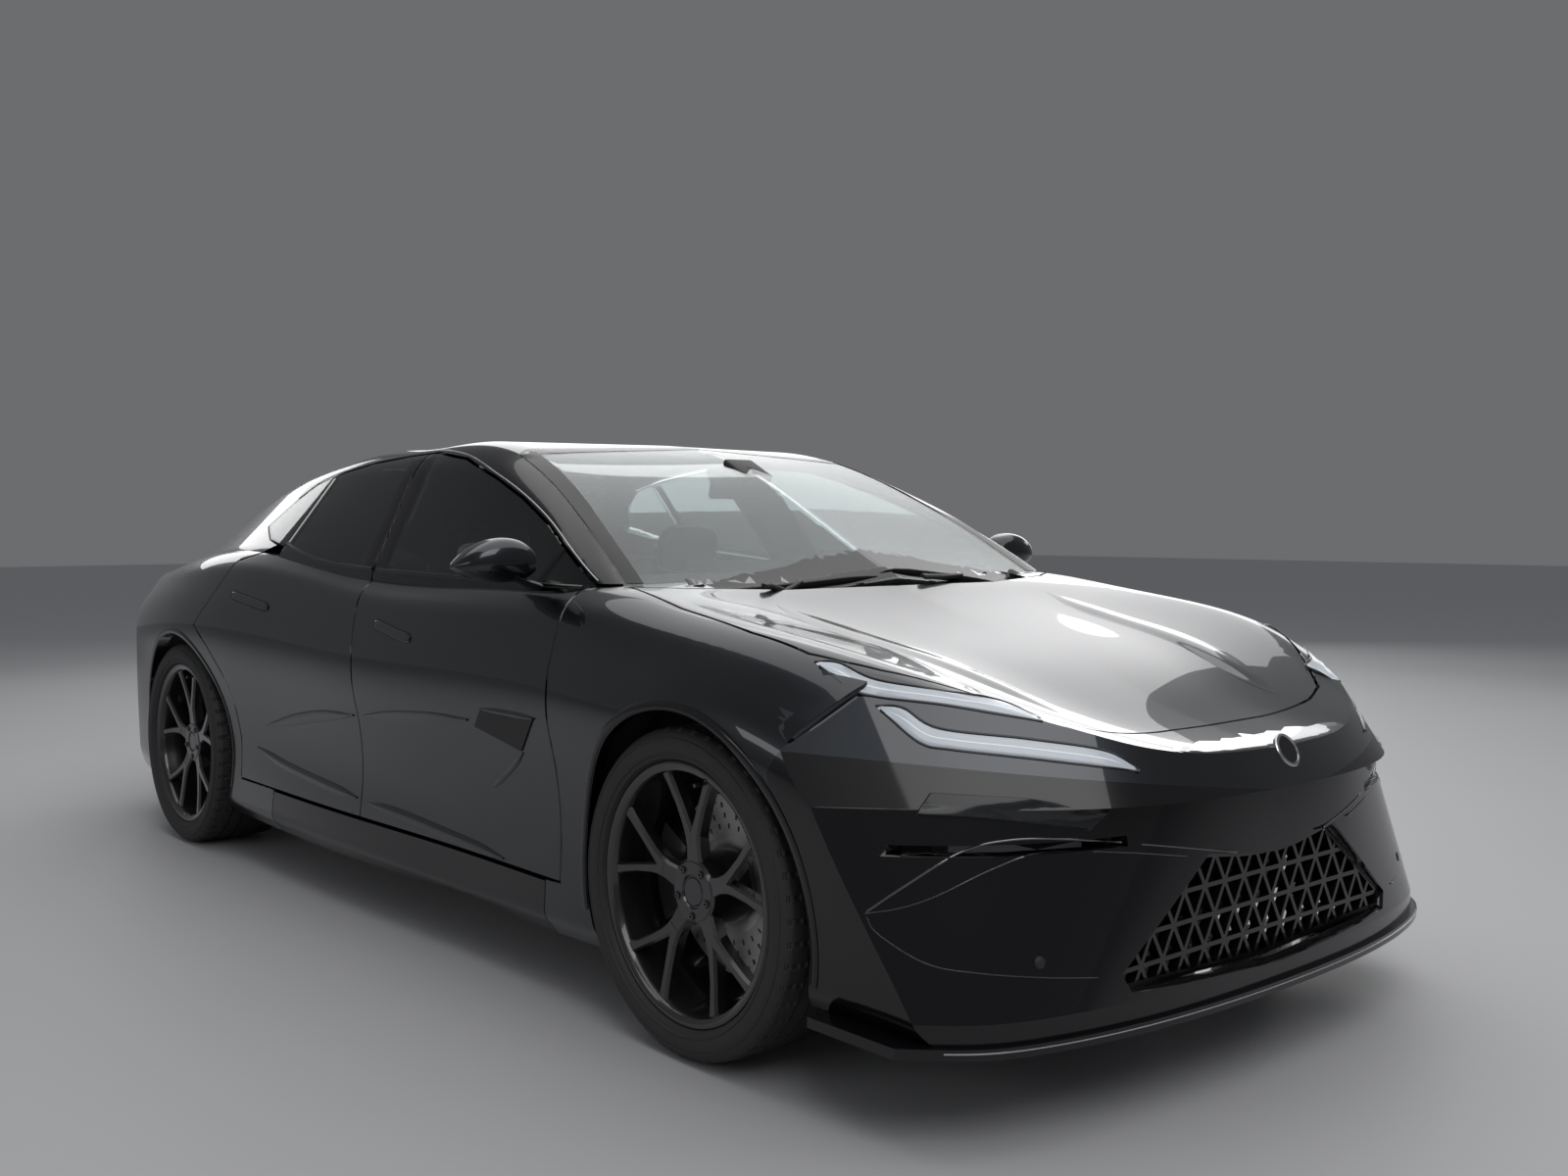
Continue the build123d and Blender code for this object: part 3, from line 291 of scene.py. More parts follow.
paint = finish("black paint", (0.030, 0.033, 0.038), 0.30, grain=0, metal=1, coat=1, coat_rough=0.015,
               gloss_drift=0.03)
gloss_black = finish("gloss black trim", (0.004, 0.004, 0.005), 0.22, grain=0, coat=0.6, gloss_drift=0.04,
                     specular=0.2)
matte_black = finish("moulded black plastic", (0.018, 0.018, 0.019), 0.55, grain_scale=900, grain=0.25)
dark_metal = finish("wheel black", (0.012, 0.012, 0.013), 0.24, grain=0, coat=0.8, coat_rough=0.05)
bright_trim = finish("satin bright trim", (0.55, 0.56, 0.58), 0.24, metal=1, grain_scale=1500)
glass_tint = finish("tinted glass", (0.30, 0.34, 0.34), 0, drift=0.02, gloss_drift=0, grain=0, through=1,
                    ior=1.45)
screen_tint = finish("screen glass", (0.62, 0.70, 0.70), 0, drift=0.02, gloss_drift=0, grain=0, through=1,
                     ior=1.52)
roof_tint = finish("roof glass", (0.02, 0.023, 0.025), 0.05, drift=0.05, grain=0, coat=1, coat_rough=0.01)
frit = finish("black glass border", (0.003, 0.003, 0.004), 0.1, grain=0, specular=0.35)
dark_chrome = finish("dark bright line", (0.20, 0.205, 0.215), 0.2, metal=1, grain=0)
rubber = finish("tyre rubber", (0.022, 0.022, 0.023), 0.62, drift=0.35, drift_scale=18, grain_scale=1200,
                grain=0.35)
seal = finish("rubber seal", (0.012, 0.012, 0.012), 0.6, grain_scale=1500, grain=0.2)
cast_metal = finish("cast aluminium", (0.32, 0.32, 0.33), 0.45, metal=1, grain_scale=700, grain=0.3,
                    gloss_drift=0.15)
disc_metal = finish("brake disc steel", (0.42, 0.41, 0.40), 0.30, metal=1, drift=0.3, drift_scale=30,
                    grain_scale=1600, grain=0.15, gloss_drift=0.12)
caliper_black = finish("caliper lacquer", (0.010, 0.010, 0.010), 0.28, grain_scale=300, coat=0.5)
steel_dark = finish("coated steel", (0.045, 0.045, 0.047), 0.5, drift=0.3, grain_scale=500, grain=0.2)
battery_metal = finish("battery case", (0.12, 0.12, 0.125), 0.42, metal=0.6, drift=0.2, grain_scale=500,
                       grain=0.15)
light_guide = finish("light guide", (0.42, 0.46, 0.50), 0.25, drift=0.12, grain_scale=500, grain=0.04,
                     coat=0.6, glow=0.10, glow_color=(0.85, 0.90, 1.0))
tail_red = finish("red lamp lens", (0.22, 0.004, 0.004), 0.08, grain_scale=250, grain=0.15, coat=0.7,
                  glow=0.12, glow_color=(0.6, 0.01, 0.01))
plate_blank = finish("blank plate", (0.62, 0.63, 0.62), 0.35, grain_scale=600, grain=0.04)
hide = finish("seat hide", (0.020, 0.019, 0.019), 0.46, drift=0.3, grain_scale=420, grain=0.5, drift_scale=9)
dash_skin = finish("dashboard skin", (0.017, 0.017, 0.018), 0.58, grain_scale=650, grain=0.45)
mirror_glass = finish("mirror glass", (0.75, 0.77, 0.78), 0.02, metal=1, grain=0, gloss_drift=0)
lamp_smoke = finish("smoked lamp", (0.018, 0.019, 0.021), 0.28, drift=0.5, drift_scale=14, grain=0, coat=0.35,
                    specular=0.25)
lamp_line = finish("lamp light line", (0.80, 0.84, 0.88), 0.2, drift=0.02, grain=0, coat=0.5, glow=0.12,
                   glow_color=(0.9, 0.94, 1.0))
tail_line = finish("tail light line", (0.55, 0.01, 0.01), 0.2, drift=0.02, grain=0, glow=0.5,
                   glow_color=(0.9, 0.02, 0.02))


def dress(obj, materials):
    obj.data.materials.clear()
    for material in materials if isinstance(materials, list) else [materials]:
        obj.data.materials.append(material)


def new_object(name, bm, materials):
    mesh = bpy.data.meshes.new(name)
    bm.to_mesh(mesh)
    bm.free()
    obj = bpy.data.objects.new(name, mesh)
    bpy.context.scene.collection.objects.link(obj)
    dress(obj, materials)
    return obj


def second_material(obj, test):
    # Gives the second material to the faces whose centres pass the test
    for polygon in obj.data.polygons:
        if test(polygon.center):
            polygon.material_index = 1


def piece_from(name, bm, body, materials, smooth=30.0, replaces=None):
    obj = new_object(name, bm, materials)
    obj.data.shade_smooth()
    if smooth:
        obj.data.set_sharp_from_angle(angle=radians(smooth))
    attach(obj, body)
    if replaces:
        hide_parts(replaces)
    return obj


# Panels: finer copies of the CAD panels with the smooth normals of the forms they are cut from
on_form_gap = 0.014
inner_gap = 0.060
alike = 0.90
longest_edge = 0.05
crease = 34.0


def panel(node, name, body, materials, cuts=()):
    bm = bmesh.new()
    bm.from_mesh(nodes[node].data)
    bmesh.ops.remove_doubles(bm, verts=bm.verts, dist=2e-5)
    bmesh.ops.dissolve_degenerate(bm, edges=bm.edges, dist=1e-5)
    for place, normal in cuts:
        bmesh.ops.bisect_plane(bm, geom=[*bm.verts, *bm.edges, *bm.faces], dist=1e-5, plane_co=place,
                               plane_no=normal)
    for sweep in range(4):
        long_edges = [e for e in bm.edges if e.calc_length() > longest_edge]
        bmesh.ops.subdivide_edges(bm, edges=long_edges, cuts=1)
        bmesh.ops.triangulate(bm, faces=[f for f in bm.faces if len(f.verts) > 3])
    obj = new_object(name, bm, materials)
    mesh = obj.data
    mesh.shade_smooth()
    mesh.set_sharp_from_angle(angle=radians(crease))
    corner = [Vector(c.vector) for c in mesh.corner_normals]
    for polygon in mesh.polygons:
        found = None
        nearest = 1
        for form in forms:
            place, normal, gap = form.near(polygon.center)
            side = normal.dot(polygon.normal)
            if gap < on_form_gap and side > alike and gap < nearest:
                found = (form, 1)
                nearest = gap
            elif found is None and gap < inner_gap and side < -alike:
                found = (form, -1)
        if found:
            for k in polygon.loop_indices:
                point = mesh.vertices[mesh.loops[k].vertex_index].co
                corner[k] = found[0].near(point)[1] * found[1]
    mesh.normals_split_custom_set([tuple(c) for c in corner])
    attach(obj, body)
    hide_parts(node)
    return obj


# Camera where the photograph was taken from
photo_width, photo_height = 1600, 1200
camera_data = bpy.data.cameras.new("camera")
camera_data.sensor_fit = "HORIZONTAL"
camera_data.sensor_width = 36
camera_data.lens = 34.706
camera_data.clip_end = 200
focal = camera_data.lens / camera_data.sensor_width * photo_width
camera = bpy.data.objects.new("camera", camera_data)
camera.location = (4.2763, -2.9573, 1.1930)
camera.rotation_euler = (pi / 2 - 0.0434, 0.0003, 2.4265 - pi / 2)
bpy.context.scene.collection.objects.link(camera)
bpy.context.scene.camera = camera
bpy.context.scene.view_settings.view_transform = "Standard"


def sight(px, py):
    # Direction from the camera through a pixel of the photograph
    across, up = (px - photo_width / 2) / focal, (photo_height / 2 - py) / focal
    return (camera.rotation_euler.to_matrix() @ Vector((across, up, -1))).normalized()


# Painted and glazed panels
for node, name, body, material, slot in (
        ("bonnet", "bonnet_skin", "bonnet", paint, "paint"),
        ("front_wings", "front_wing_skins", "body", paint, "paint"),
        ("rear_quarters", "rear_quarter_skins", "body", paint, "paint"),
        ("rear_bumper", "rear_bumper_skin", "body", paint, "paint"),
        ("tailgate", "tailgate_skin", "tailgate", paint, "paint"),
        ("side_frames", "side_frame_skins", "body", gloss_black, "trim_black"),
        ("windscreen", "windscreen_glass", "body", screen_tint, "glass"),
        ("roof_panel", "roof_glass", "body", roof_tint, "glass"),
        ("quarter_panes", "quarter_glasses", "body", glass_tint, "glass"),
        ("tailgate_glass", "tailgate_glass_pane", "tailgate", roof_tint, "glass")):
    panel(node, name, body, material)
# Painted shade: the bumper below a line over the lip takes the darker gloss black. The nose is one black
# paint and is only darker below, where it faces the road
painted_shade_top = 0.620
painted_shade_rise = 0.115
bumper_with_painted_shade = panel("front_bumper", "front_bumper_skin", "body", [paint, gloss_black],
               [((0, 0, painted_shade_top), (0, turn * painted_shade_rise, 1)) for turn in (-1, 1)])
second_material(bumper_with_painted_shade, lambda c: c.z < painted_shade_top + painted_shade_rise * abs(c.y))
for side, s in sides:
    for place in ("front", "rear"):
        body = "door_%s_%s" % (place, side)
        panel(body, body + "_skin", body, paint)
        panel("door_glass_%s_%s" % (place, side), body + "_glass", body, glass_tint)

# The CAD nodes that stay as they are
for node, material in (
        ("front_grille", gloss_black), ("front_splitter", gloss_black), ("rear_diffuser", gloss_black),
        ("floor_pan", steel_dark), ("battery_pack", battery_metal), ("drive_units", cast_metal),
        ("front_axle", steel_dark), ("rear_axle", steel_dark), ("rear_knuckles", caliper_black),
        ("front_knuckle_left", caliper_black), ("front_knuckle_right", caliper_black),
        ("dashboard", dash_skin), ("tail_lamp", tail_red), ("sills", gloss_black)):
    dress(nodes[node], material)


# Wheels
def spun(profile, x, z, steps=96, closed=True):
    # Ring of a profile of (y, radius) turned about the axle line at (x, z), millimetres
    bm = bmesh.new()
    verts = [bm.verts.new((x * mm, y * mm, (z + r) * mm)) for y, r in profile]
    edges = [bm.edges.new((a, b)) for a, b in zip(verts, verts[1:])]
    if closed:
        edges.append(bm.edges.new((verts[-1], verts[0])))
    bmesh.ops.spin(bm, geom=verts + edges, cent=(x * mm, 0, z * mm), axis=(0, 1, 0), angle=2 * pi,
                   steps=steps, use_merge=True)
    bmesh.ops.remove_doubles(bm, verts=bm.verts, dist=1e-6)
    bmesh.ops.recalc_face_normals(bm, faces=bm.faces)
    return bm


def bridge_sections(bm, sections):
    # Skins a row of closed sections of equal count, and caps both ends
    loops = []
    for section in sections:
        verts = [bm.verts.new(p) for p in section]
        loops.append([bm.edges.new((a, b)) for a, b in zip(verts, verts[1:] + verts[:1])])
    made = []
    for a, b in zip(loops, loops[1:]):
        made += bmesh.ops.bridge_loops(bm, edges=a + b)["faces"]
    for loop in (loops[0], loops[-1]):
        made += bmesh.ops.contextual_create(bm, geom=loop)["faces"]
    return made


def add_to(bm, other):
    # Joins another bmesh into this one
    mesh = bpy.data.meshes.new("part")
    other.to_mesh(mesh)
    other.free()
    bm.from_mesh(mesh)
    bpy.data.meshes.remove(mesh)



def handed(bm, side):
    # Mirrors a left wheel's mesh for the right side, and turns its faces outwards
    if side == "right":
        bmesh.ops.scale(bm, vec=(1, -1, 1), verts=bm.verts)
    bmesh.ops.recalc_face_normals(bm, faces=bm.faces)


def round_angles(count):
    return [2 * pi * k / count for k in range(count)]


spoke_angles = [90 + 72 * k for k in range(5)]
bolt_circle = 55
valve_circle = 254
valve_angle = 78


def spoke(bm, x, angle, lip_y, hub_y):
    # A stem from the hub that splits into two arms at under half the radius
    def at(r, offset, y, turn):
        a = radians(angle) + turn
        return Vector(((x + r * cos(a) - offset * sin(a)) * mm, y * mm,
                       (hub_z + r * sin(a) + offset * cos(a)) * mm))

    def bar(rows, chamfer=5):
        bridge_sections(bm, [[at(r, share * half + inset, front - drop, turn) for share, inset, drop in (
            (-1, 0, chamfer + 2), (-1, chamfer, 0), (1, -chamfer, 0), (1, 0, chamfer + 2), (0.62, 0, depth),
            (-0.62, 0, depth))] for r, turn, half, front, depth in rows])

    bar([(34, 0, 30, hub_y + 2, 40), (70, 0, 25, hub_y + 6, 40), (100, 0, 22, hub_y + 9, 40),
         (128, 0, 25, hub_y + 12, 38)])
    for side in (-1, 1):
        bar([(r, side * radians(turn), half, front, depth) for r, turn, half, front, depth in (
            (112, 1.5, 17, hub_y + 11, 38), (150, 6.8, 13.5, hub_y + 14, 36), (200, 11.6, 12, hub_y + 18, 34),
            (245, 14.8, 12.5, lip_y - 7, 34), (274, 16.4, 15, lip_y - 4, 32))])


def rim_piece(place, side):
    x, centre_y, width, disc_y = wheels[place]
    lip = centre_y + width / 2 - 24
    inner = centre_y - width / 2 + 24
    hub_y = lip - 30
    profile = [(edge + y, r) for edge, points in (
        (lip, ((8, 293), (9, 289), (8, 283), (3, 274), (-4, 269.5), (-16, 266.5), (-40, 264), (-70, 254),
               (-110, 252))),
        (inner, ((20, 256), (-6, 268), (-10, 276), (-10, 293), (-3, 293), (0, 281), (30, 279), (60, 268))),
        (lip, ((-60, 268), (-30, 279), (0, 281), (3, 293)))) for y, r in points]
    bm = spun(profile, x, hub_z)
    for angle in spoke_angles:
        spoke(bm, x, angle, lip, hub_y)
    add_to(bm, spun([(edge + y, r) for edge, points in (
        (hub_y, ((6, 0.01), (6, 30), (3, 33), (3, 36), (8, 39), (8, 66), (3, 74), (-30, 80))),
        (disc_y, ((17, 84), (17, 40))), (hub_y, ((-14, 38), (-14, 0.01)))) for y, r in points],
        x, hub_z, 64, False))

    def add_turned(points, edge, circle, angle, steps, closed):
        a = radians(angle)
        add_to(bm, spun([(edge + y, r) for y, r in points], x + circle * cos(a), hub_z + circle * sin(a),
                        steps, closed))

    # Five bolt wells with their bolts, and the valve stem
    for angle in spoke_angles:
        add_turned(((8.2, 12), (9.4, 11), (9.4, 9.6), (8.2, 9)), hub_y, bolt_circle, angle + 36, 18, True)
        add_turned(((8, 8.4), (12, 8.4), (13.2, 7.2), (13.2, 3.6), (10, 3.2), (10, 0.01)), hub_y, bolt_circle,
                   angle + 36, 6, False)
    add_turned(((-20, 4), (2, 4), (2.6, 4.8), (12, 4.8), (13, 4), (13, 0.01)), lip, valve_circle, valve_angle,
               14, False)
    handed(bm, side)
    body = "wheel_%s_%s" % (place, side)
    piece_from("rim_%s_%s" % (place, side), bm, body, dark_metal, 24, body)
    disc = disc_mesh(x, disc_y)
    if side == "right":
        bmesh.ops.scale(disc, vec=(1, -1, 1), verts=disc.verts)
        bmesh.ops.reverse_faces(disc, faces=disc.faces)
    piece_from("brake_disc_%s_%s" % (place, side), disc, body, disc_metal)


disc_sectors = 24
disc_columns = 7
disc_rings = (112, 126, 138, 150, 162, 174, 186, 198, 205)
drilled = ((1, 1), (3, 3), (5, 4), (6, 1))


def disc_mesh(x, disc_y):
    # Drilled and vented disc: one sector with its holes, repeated round the axle
    step = 2 * pi / disc_sectors
    bm = bmesh.new()
    turns = [k * step / (disc_columns - 1) for k in range(disc_columns)]
    grid = [[bm.verts.new(((x + r * cos(a)) * mm, (disc_y + 17) * mm, (hub_z + r * sin(a)) * mm))
             for a in turns] for r in disc_rings]
    holes = []
    for i in range(len(disc_rings) - 1):
        for k in range(disc_columns - 1):
            face = bm.faces.new((grid[i][k], grid[i][k + 1], grid[i + 1][k + 1], grid[i + 1][k]))
            if (i, k) in drilled:
                holes.append(face)
    bmesh.ops.inset_individual(bm, faces=holes, thickness=0.0018, use_even_offset=True)
    bmesh.ops.inset_individual(bm, faces=holes, thickness=0.0002, depth=-0.007)
    geom = [*bm.verts, *bm.edges, *bm.faces]
    for k in range(1, disc_sectors):
        made = bmesh.ops.duplicate(bm, geom=geom)["geom"]
        bmesh.ops.rotate(bm, verts=[g for g in made if isinstance(g, bmesh.types.BMVert)],
                         cent=(x * mm, 0, hub_z * mm), matrix=Matrix.Rotation(-k * step, 3, "Y"))
    bmesh.ops.remove_doubles(bm, verts=bm.verts, dist=1e-5)
    bmesh.ops.recalc_face_normals(bm, faces=bm.faces)
    if sum(f.normal.y for f in bm.faces) < 0:
        bmesh.ops.reverse_faces(bm, faces=bm.faces)
    # Edge with its vane slots, inner plate and bell
    add_to(bm, spun([(disc_y + y, r) for y, r in (
        (17, 205), (5, 205), (5, 196), (-5, 196), (-5, 205), (-17, 205), (-17, 112), (-6, 96), (10, 92),
        (17, 84), (19, 96), (17, 112))], x, hub_z, 72, False))
    return bm


tyre_steps = 144


def tyre_piece(place, side):
    x, centre_y, width, disc_y = wheels[place]
    half = width / 2
    tread = half - 26
    wall = [(-half + y, r) for y, r in (
        (24, 281), (23, 294), (15, 297), (8, 301), (3, 313), (0, 328), (1.5, 342), (6, 354), (12, 361),
        (16, 364.5), (22, 368))]
    crown = []
    for groove in (-0.56, -0.19, 0.19, 0.56):
        y = groove * tread
        top = tyre_radius - 3.6 * groove * groove
        crown += [(y - 5.5, top), (y - 4, top - 7), (y + 4, top - 7), (y + 5.5, top)]
    profile = wall + [(-tread, 368.6), (-tread * 0.80, 370)] + crown + [(tread * 0.80, 370), (tread, 368.6)]
    profile += [(-y, r) for y, r in reversed(wall)]
    bm = spun([(centre_y + y, r) for y, r in profile], x, hub_z, tyre_steps)
    # Cross cuts through the shoulders and shorter ones across the ribs
    shoulder, rib = [], []
    for face in bm.faces:
        c = face.calc_center_median()
        across = abs(c.y / mm - centre_y)
        r = math.hypot(c.x / mm - x, c.z / mm - hub_z)
        turn = math.atan2(c.z / mm - hub_z, c.x / mm - x) % (2 * pi)
        index = int(turn / (2 * pi) * tyre_steps)
        if r > 362.5 and across > tread * 0.62 and index % 3 == 0:
            shoulder.append(face)
        elif r > 370.6 and 0.24 * tread < across < 0.5 * tread and index % 4 == 1:
            rib.append(face)
    bmesh.ops.inset_individual(bm, faces=shoulder + rib, thickness=0.0048, use_even_offset=True)
    for faces, depth in ((shoulder, 4.5), (rib, 3.0)):
        for face in faces:
            c = face.calc_center_median()
            inward = Vector((x * mm - c.x, 0, hub_z * mm - c.z)).normalized() * depth * mm
            bmesh.ops.translate(bm, verts=face.verts, vec=inward)
    # Two raised rings on the sidewall
    for r, rise, inset in ((312, 1.2, 2.8), (346, 1.0, 1.6)):
        for s in (-1, 1):
            y = centre_y + s * (half - inset)
            add_to(bm, spun(((y - s * 2, r - 3), (y + s * rise, r - 1.2), (y + s * rise, r + 1.2),
                             (y - s * 2, r + 3)), x, hub_z))
    handed(bm, side)
    node = "tyre_%s_%s" % (place, side)
    piece_from(node + "_tread", bm, "wheel_%s_%s" % (place, side), rubber, 32, node)


for place in ("front", "rear"):
    for side, s in sides:
        rim_piece(place, side)
        tyre_piece(place, side)


# Skin of the car as built, to set fine pieces on
shell_nodes = ["front_bumper", "front_wings", "bonnet", "front_lamps", "side_frames", "rear_quarters",
               "rear_bumper", "tailgate", "tailgate_glass", "roof_panel", "windscreen", "quarter_panes"]
for side, s in sides:
    for place in ("front", "rear"):
        shell_nodes += ["door_%s_%s" % (place, side), "door_glass_%s_%s" % (place, side)]


def tree_of(names):
    points, faces = [], []
    for name in names:
        mesh = nodes[name].data
        first = len(points)
        points += [v.co.copy() for v in mesh.vertices]
        faces += [tuple(first + i for i in p.vertices) for p in mesh.polygons]
    return BVHTree.FromPolygons(points, faces)


shell = tree_of(shell_nodes)
# Where rays start, in metres: beside, above, and before or behind the car
beside, above, beyond = 1.6, 2, 3.2


def hit(start, direction, tree=shell):
    # Where a ray meets the skin, with the smooth normal of the form where the panel lies on it
    place, normal, index, reach = tree.ray_cast(start, direction)
    if place is None:
        return None
    for form in forms:
        on_form, smooth_normal, gap = form.near(place)
        if gap < on_form_gap and smooth_normal.dot(normal) > 0.8:
            normal = smooth_normal
    return place, normal


def eased(points, count):
    # Even samples on a smooth curve through the points
    pts = [Vector(p) for p in points]
    pts = [2 * pts[0] - pts[1]] + pts + [2 * pts[-1] - pts[-2]]
    lengths = [(b - a).length for a, b in zip(pts[1:-2], pts[2:-1])]
    total = sum(lengths)
    out = []
    for k in range(count):
        left = total * k / (count - 1)
        i = 0
        while i < len(lengths) - 1 and left > lengths[i]:
            left -= lengths[i]
            i += 1
        t = min(1.0, left / lengths[i])
        a, b, c, d = pts[i:i + 4]
        out.append(0.5 * ((2 * b) + (c - a) * t + (2 * a - 5 * b + 4 * c - d) * t * t
                          + (3 * b - a - 3 * c + d) * t ** 3))
    return out


def cast_path(points, count, start_of, direction, tree=shell):
    # Path of (point, normal) on the skin below an eased line
    found = [hit(start_of(p), direction, tree) for p in eased(points, count)]
    return [f for f in found if f]


def side_path(points, side, count):
    # points are (x, z) in millimetres, read square from the side
    return cast_path(points, count, lambda p: (p[0] * mm, side * beside, p[1] * mm), (0, -side, 0))


def top_path(points, side, count):
    # points are (x, y), read from above
    return cast_path(points, count, lambda p: (p[0] * mm, side * p[1] * mm, above), (0, 0, -1))


def end_path(points, facing, count, tree=shell):
    # points are (y, z), read square from the front (facing 1) or the back (facing -1)
    return cast_path(points, count, lambda p: (facing * beyond, p[0] * mm, p[1] * mm), (-facing, 0, 0), tree)


def other_side(path):
    return [(Vector((p.x, -p.y, p.z)), Vector((n.x, -n.y, n.z))) for p, n in path]


def raised(path, height):
    return [(p + n * height * mm, n) for p, n in path]


def add_along(bm, path, shape):
    # Skins a strip along a path of (point, normal); shape(share of the way) gives its half width and its
    # outline as (share of the half width, height), in millimetres
    last = len(path) - 1
    sections = []
    for i, (point, normal) in enumerate(path):
        along = (path[min(i + 1, last)][0] - path[max(i - 1, 0)][0]).normalized()
        out = (normal - along * normal.dot(along)).normalized()
        side = along.cross(out)
        half, outline = shape(i / last)
        sections.append([point + (side * a * half + out * b) * mm for a, b in outline])
    bridge_sections(bm, sections)


def strips(name, rows, body, material, sink=1.5, square=0.45):
    # Strips with rounded shoulders; rows: (path, half width, rise) of each strip of the piece
    bm = bmesh.new()
    for path, half_width, rise in rows:
        def shape(t):
            half = half_width(t) if callable(half_width) else half_width
            tall = rise(t) if callable(rise) else rise
            return half, ((-1, -sink), (-1, tall * square), (-0.7, tall * 0.9), (0, tall), (0.7, tall * 0.9),
                          (1, tall * square), (1, -sink))
        add_along(bm, path, shape)
    bmesh.ops.recalc_face_normals(bm, faces=bm.faces)
    return piece_from(name, bm, body, material, 50)


def tapered(width, ends=0.25, least=0.15):
    # Width that narrows towards both ends
    def at(t):
        near = min(t, 1 - t) / ends
        return width * (least + (1 - least) * sin(min(1, near) * pi / 2))
    return at


def add_patch(bm, corners, side, rise, thick):
    # Plate over a four-cornered place on the side, corners (x, z) in millimetres
    part = bmesh.new()
    part.faces.new([part.verts.new((x * mm, side * beside, z * mm)) for x, z in corners])
    bmesh.ops.subdivide_edges(part, edges=part.edges, cuts=9, use_grid_fill=True)
    for vert in part.verts:
        found = hit(vert.co, (0, -side, 0))
        if found:
            vert.co = found[0] + found[1] * rise * mm
    bmesh.ops.recalc_face_normals(part, faces=part.faces)
    if sum(f.normal.y for f in part.faces) * side < 0:
        bmesh.ops.reverse_faces(part, faces=part.faces)
    bmesh.ops.solidify(part, geom=part.faces[:], thickness=-thick * mm)
    bmesh.ops.recalc_face_normals(part, faces=part.faces)
    add_to(bm, part)


def button(profile, place, normal, steps=32):
    # Turned piece of a profile of (radius, height) standing on the skin
    bm = bmesh.new()
    verts = [bm.verts.new((r * mm, 0, h * mm)) for r, h in profile]
    edges = [bm.edges.new((a, b)) for a, b in zip(verts, verts[1:])]
    bmesh.ops.spin(bm, geom=verts + edges, cent=(0, 0, 0), axis=(0, 0, 1), angle=2 * pi, steps=steps,
                   use_merge=True)
    bmesh.ops.remove_doubles(bm, verts=bm.verts, dist=1e-6)
    turn = normal.to_track_quat("Z", "Y").to_matrix().to_4x4()
    bmesh.ops.transform(bm, matrix=Matrix.Translation(place) @ turn, verts=bm.verts)
    bmesh.ops.recalc_face_normals(bm, faces=bm.faces)
    return bm


def add_slab(bm, size, place, tilt, radius=4.0, segments=3):
    # Plate with rounded edges, sizes in millimetres, tilted in degrees about the crosswise axis
    part = bmesh.new()
    bmesh.ops.create_cube(part, size=1, matrix=Matrix.Diagonal((*(length * mm for length in size), 1)))
    bmesh.ops.bevel(part, geom=part.edges[:], offset=radius * mm, segments=segments, profile=0.5,
                    affect="EDGES", material=-1)
    turn = Matrix.Translation(Vector(place) * mm) @ Matrix.Rotation(radians(tilt), 4, "Y")
    bmesh.ops.transform(part, matrix=turn, verts=part.verts)
    add_to(bm, part)


def door_strips(rows, chosen=sides):
    # Strips of the doors: (piece, door, material, slot, lines of (points, samples, half width, rise))
    for name, s in chosen:
        for piece, door, material, slot, lines in rows:
            paths = [(side_path(points, s, count), half, rise) for points, count, half, rise in lines]
            strips(piece + "_" + name, paths, "door_%s_%s" % (door, name), material)


# Lips of the wheel arches
arch_rows = []
for x in (front_axle_x, rear_axle_x):
    for name, s in sides:
        ring = []
        for angle in range(-16, 197, 4):
            a = radians(angle)
            start = ((x + arch_lip_radius * cos(a)) * mm, s * beside, (hub_z + arch_lip_radius * sin(a)) * mm)
            found = hit(start, (0, -s, 0))
            if found and abs(found[0].y) > 0.90:
                ring.append(found)
        arch_rows.append((ring, 10, 3.2))
strips("arch_lips", arch_rows, "body", gloss_black)

# Bright metal strip over the side windows, a painted highlight along the roof edge, and the seals below them
window_top = [(1118, 1046), (960, 1124), (800, 1199), (620, 1269), (430, 1331), (200, 1394), (-50, 1422),
              (-250, 1417), (-447, 1400), (-650, 1375), (-848, 1334), (-950, 1278)]
strips("window_top_highlight", [(side_path(window_top, s, 60), 2.0, 1.8) for name, s in sides], "body", bright_trim)
door_strips((
    ("front_belt_seal", "front", gloss_black, "trim_black", [
        ([(10, 1050), (350, 1044), (800, 1036), (1085, 1030)], 30, 6, 3.5)]),
    ("rear_belt_seal", "rear", gloss_black, "trim_black", [
        ([(-25, 1052), (-356, 1066), (-600, 1100), (-725, 1124)], 24, 6, 3.5)])))

# Black borders and dividers of the side glass
door_strips((
    ("front_glass_border", "front", frit, "trim_black", [
        ([(918, 1040), (921, 1100), (925, 1126)], 10, 15, 1.2),
        ([(30, 1050), (-10, 1200), (-55, 1395)], 16, 34, 0.8)]),
    ("rear_glass_border", "rear", frit, "trim_black", [
        ([(-62, 1058), (-100, 1200), (-145, 1392)], 16, 30, 0.8),
        ([(-700, 1120), (-700, 1200), (-700, 1346)], 14, 20, 0.8)])))

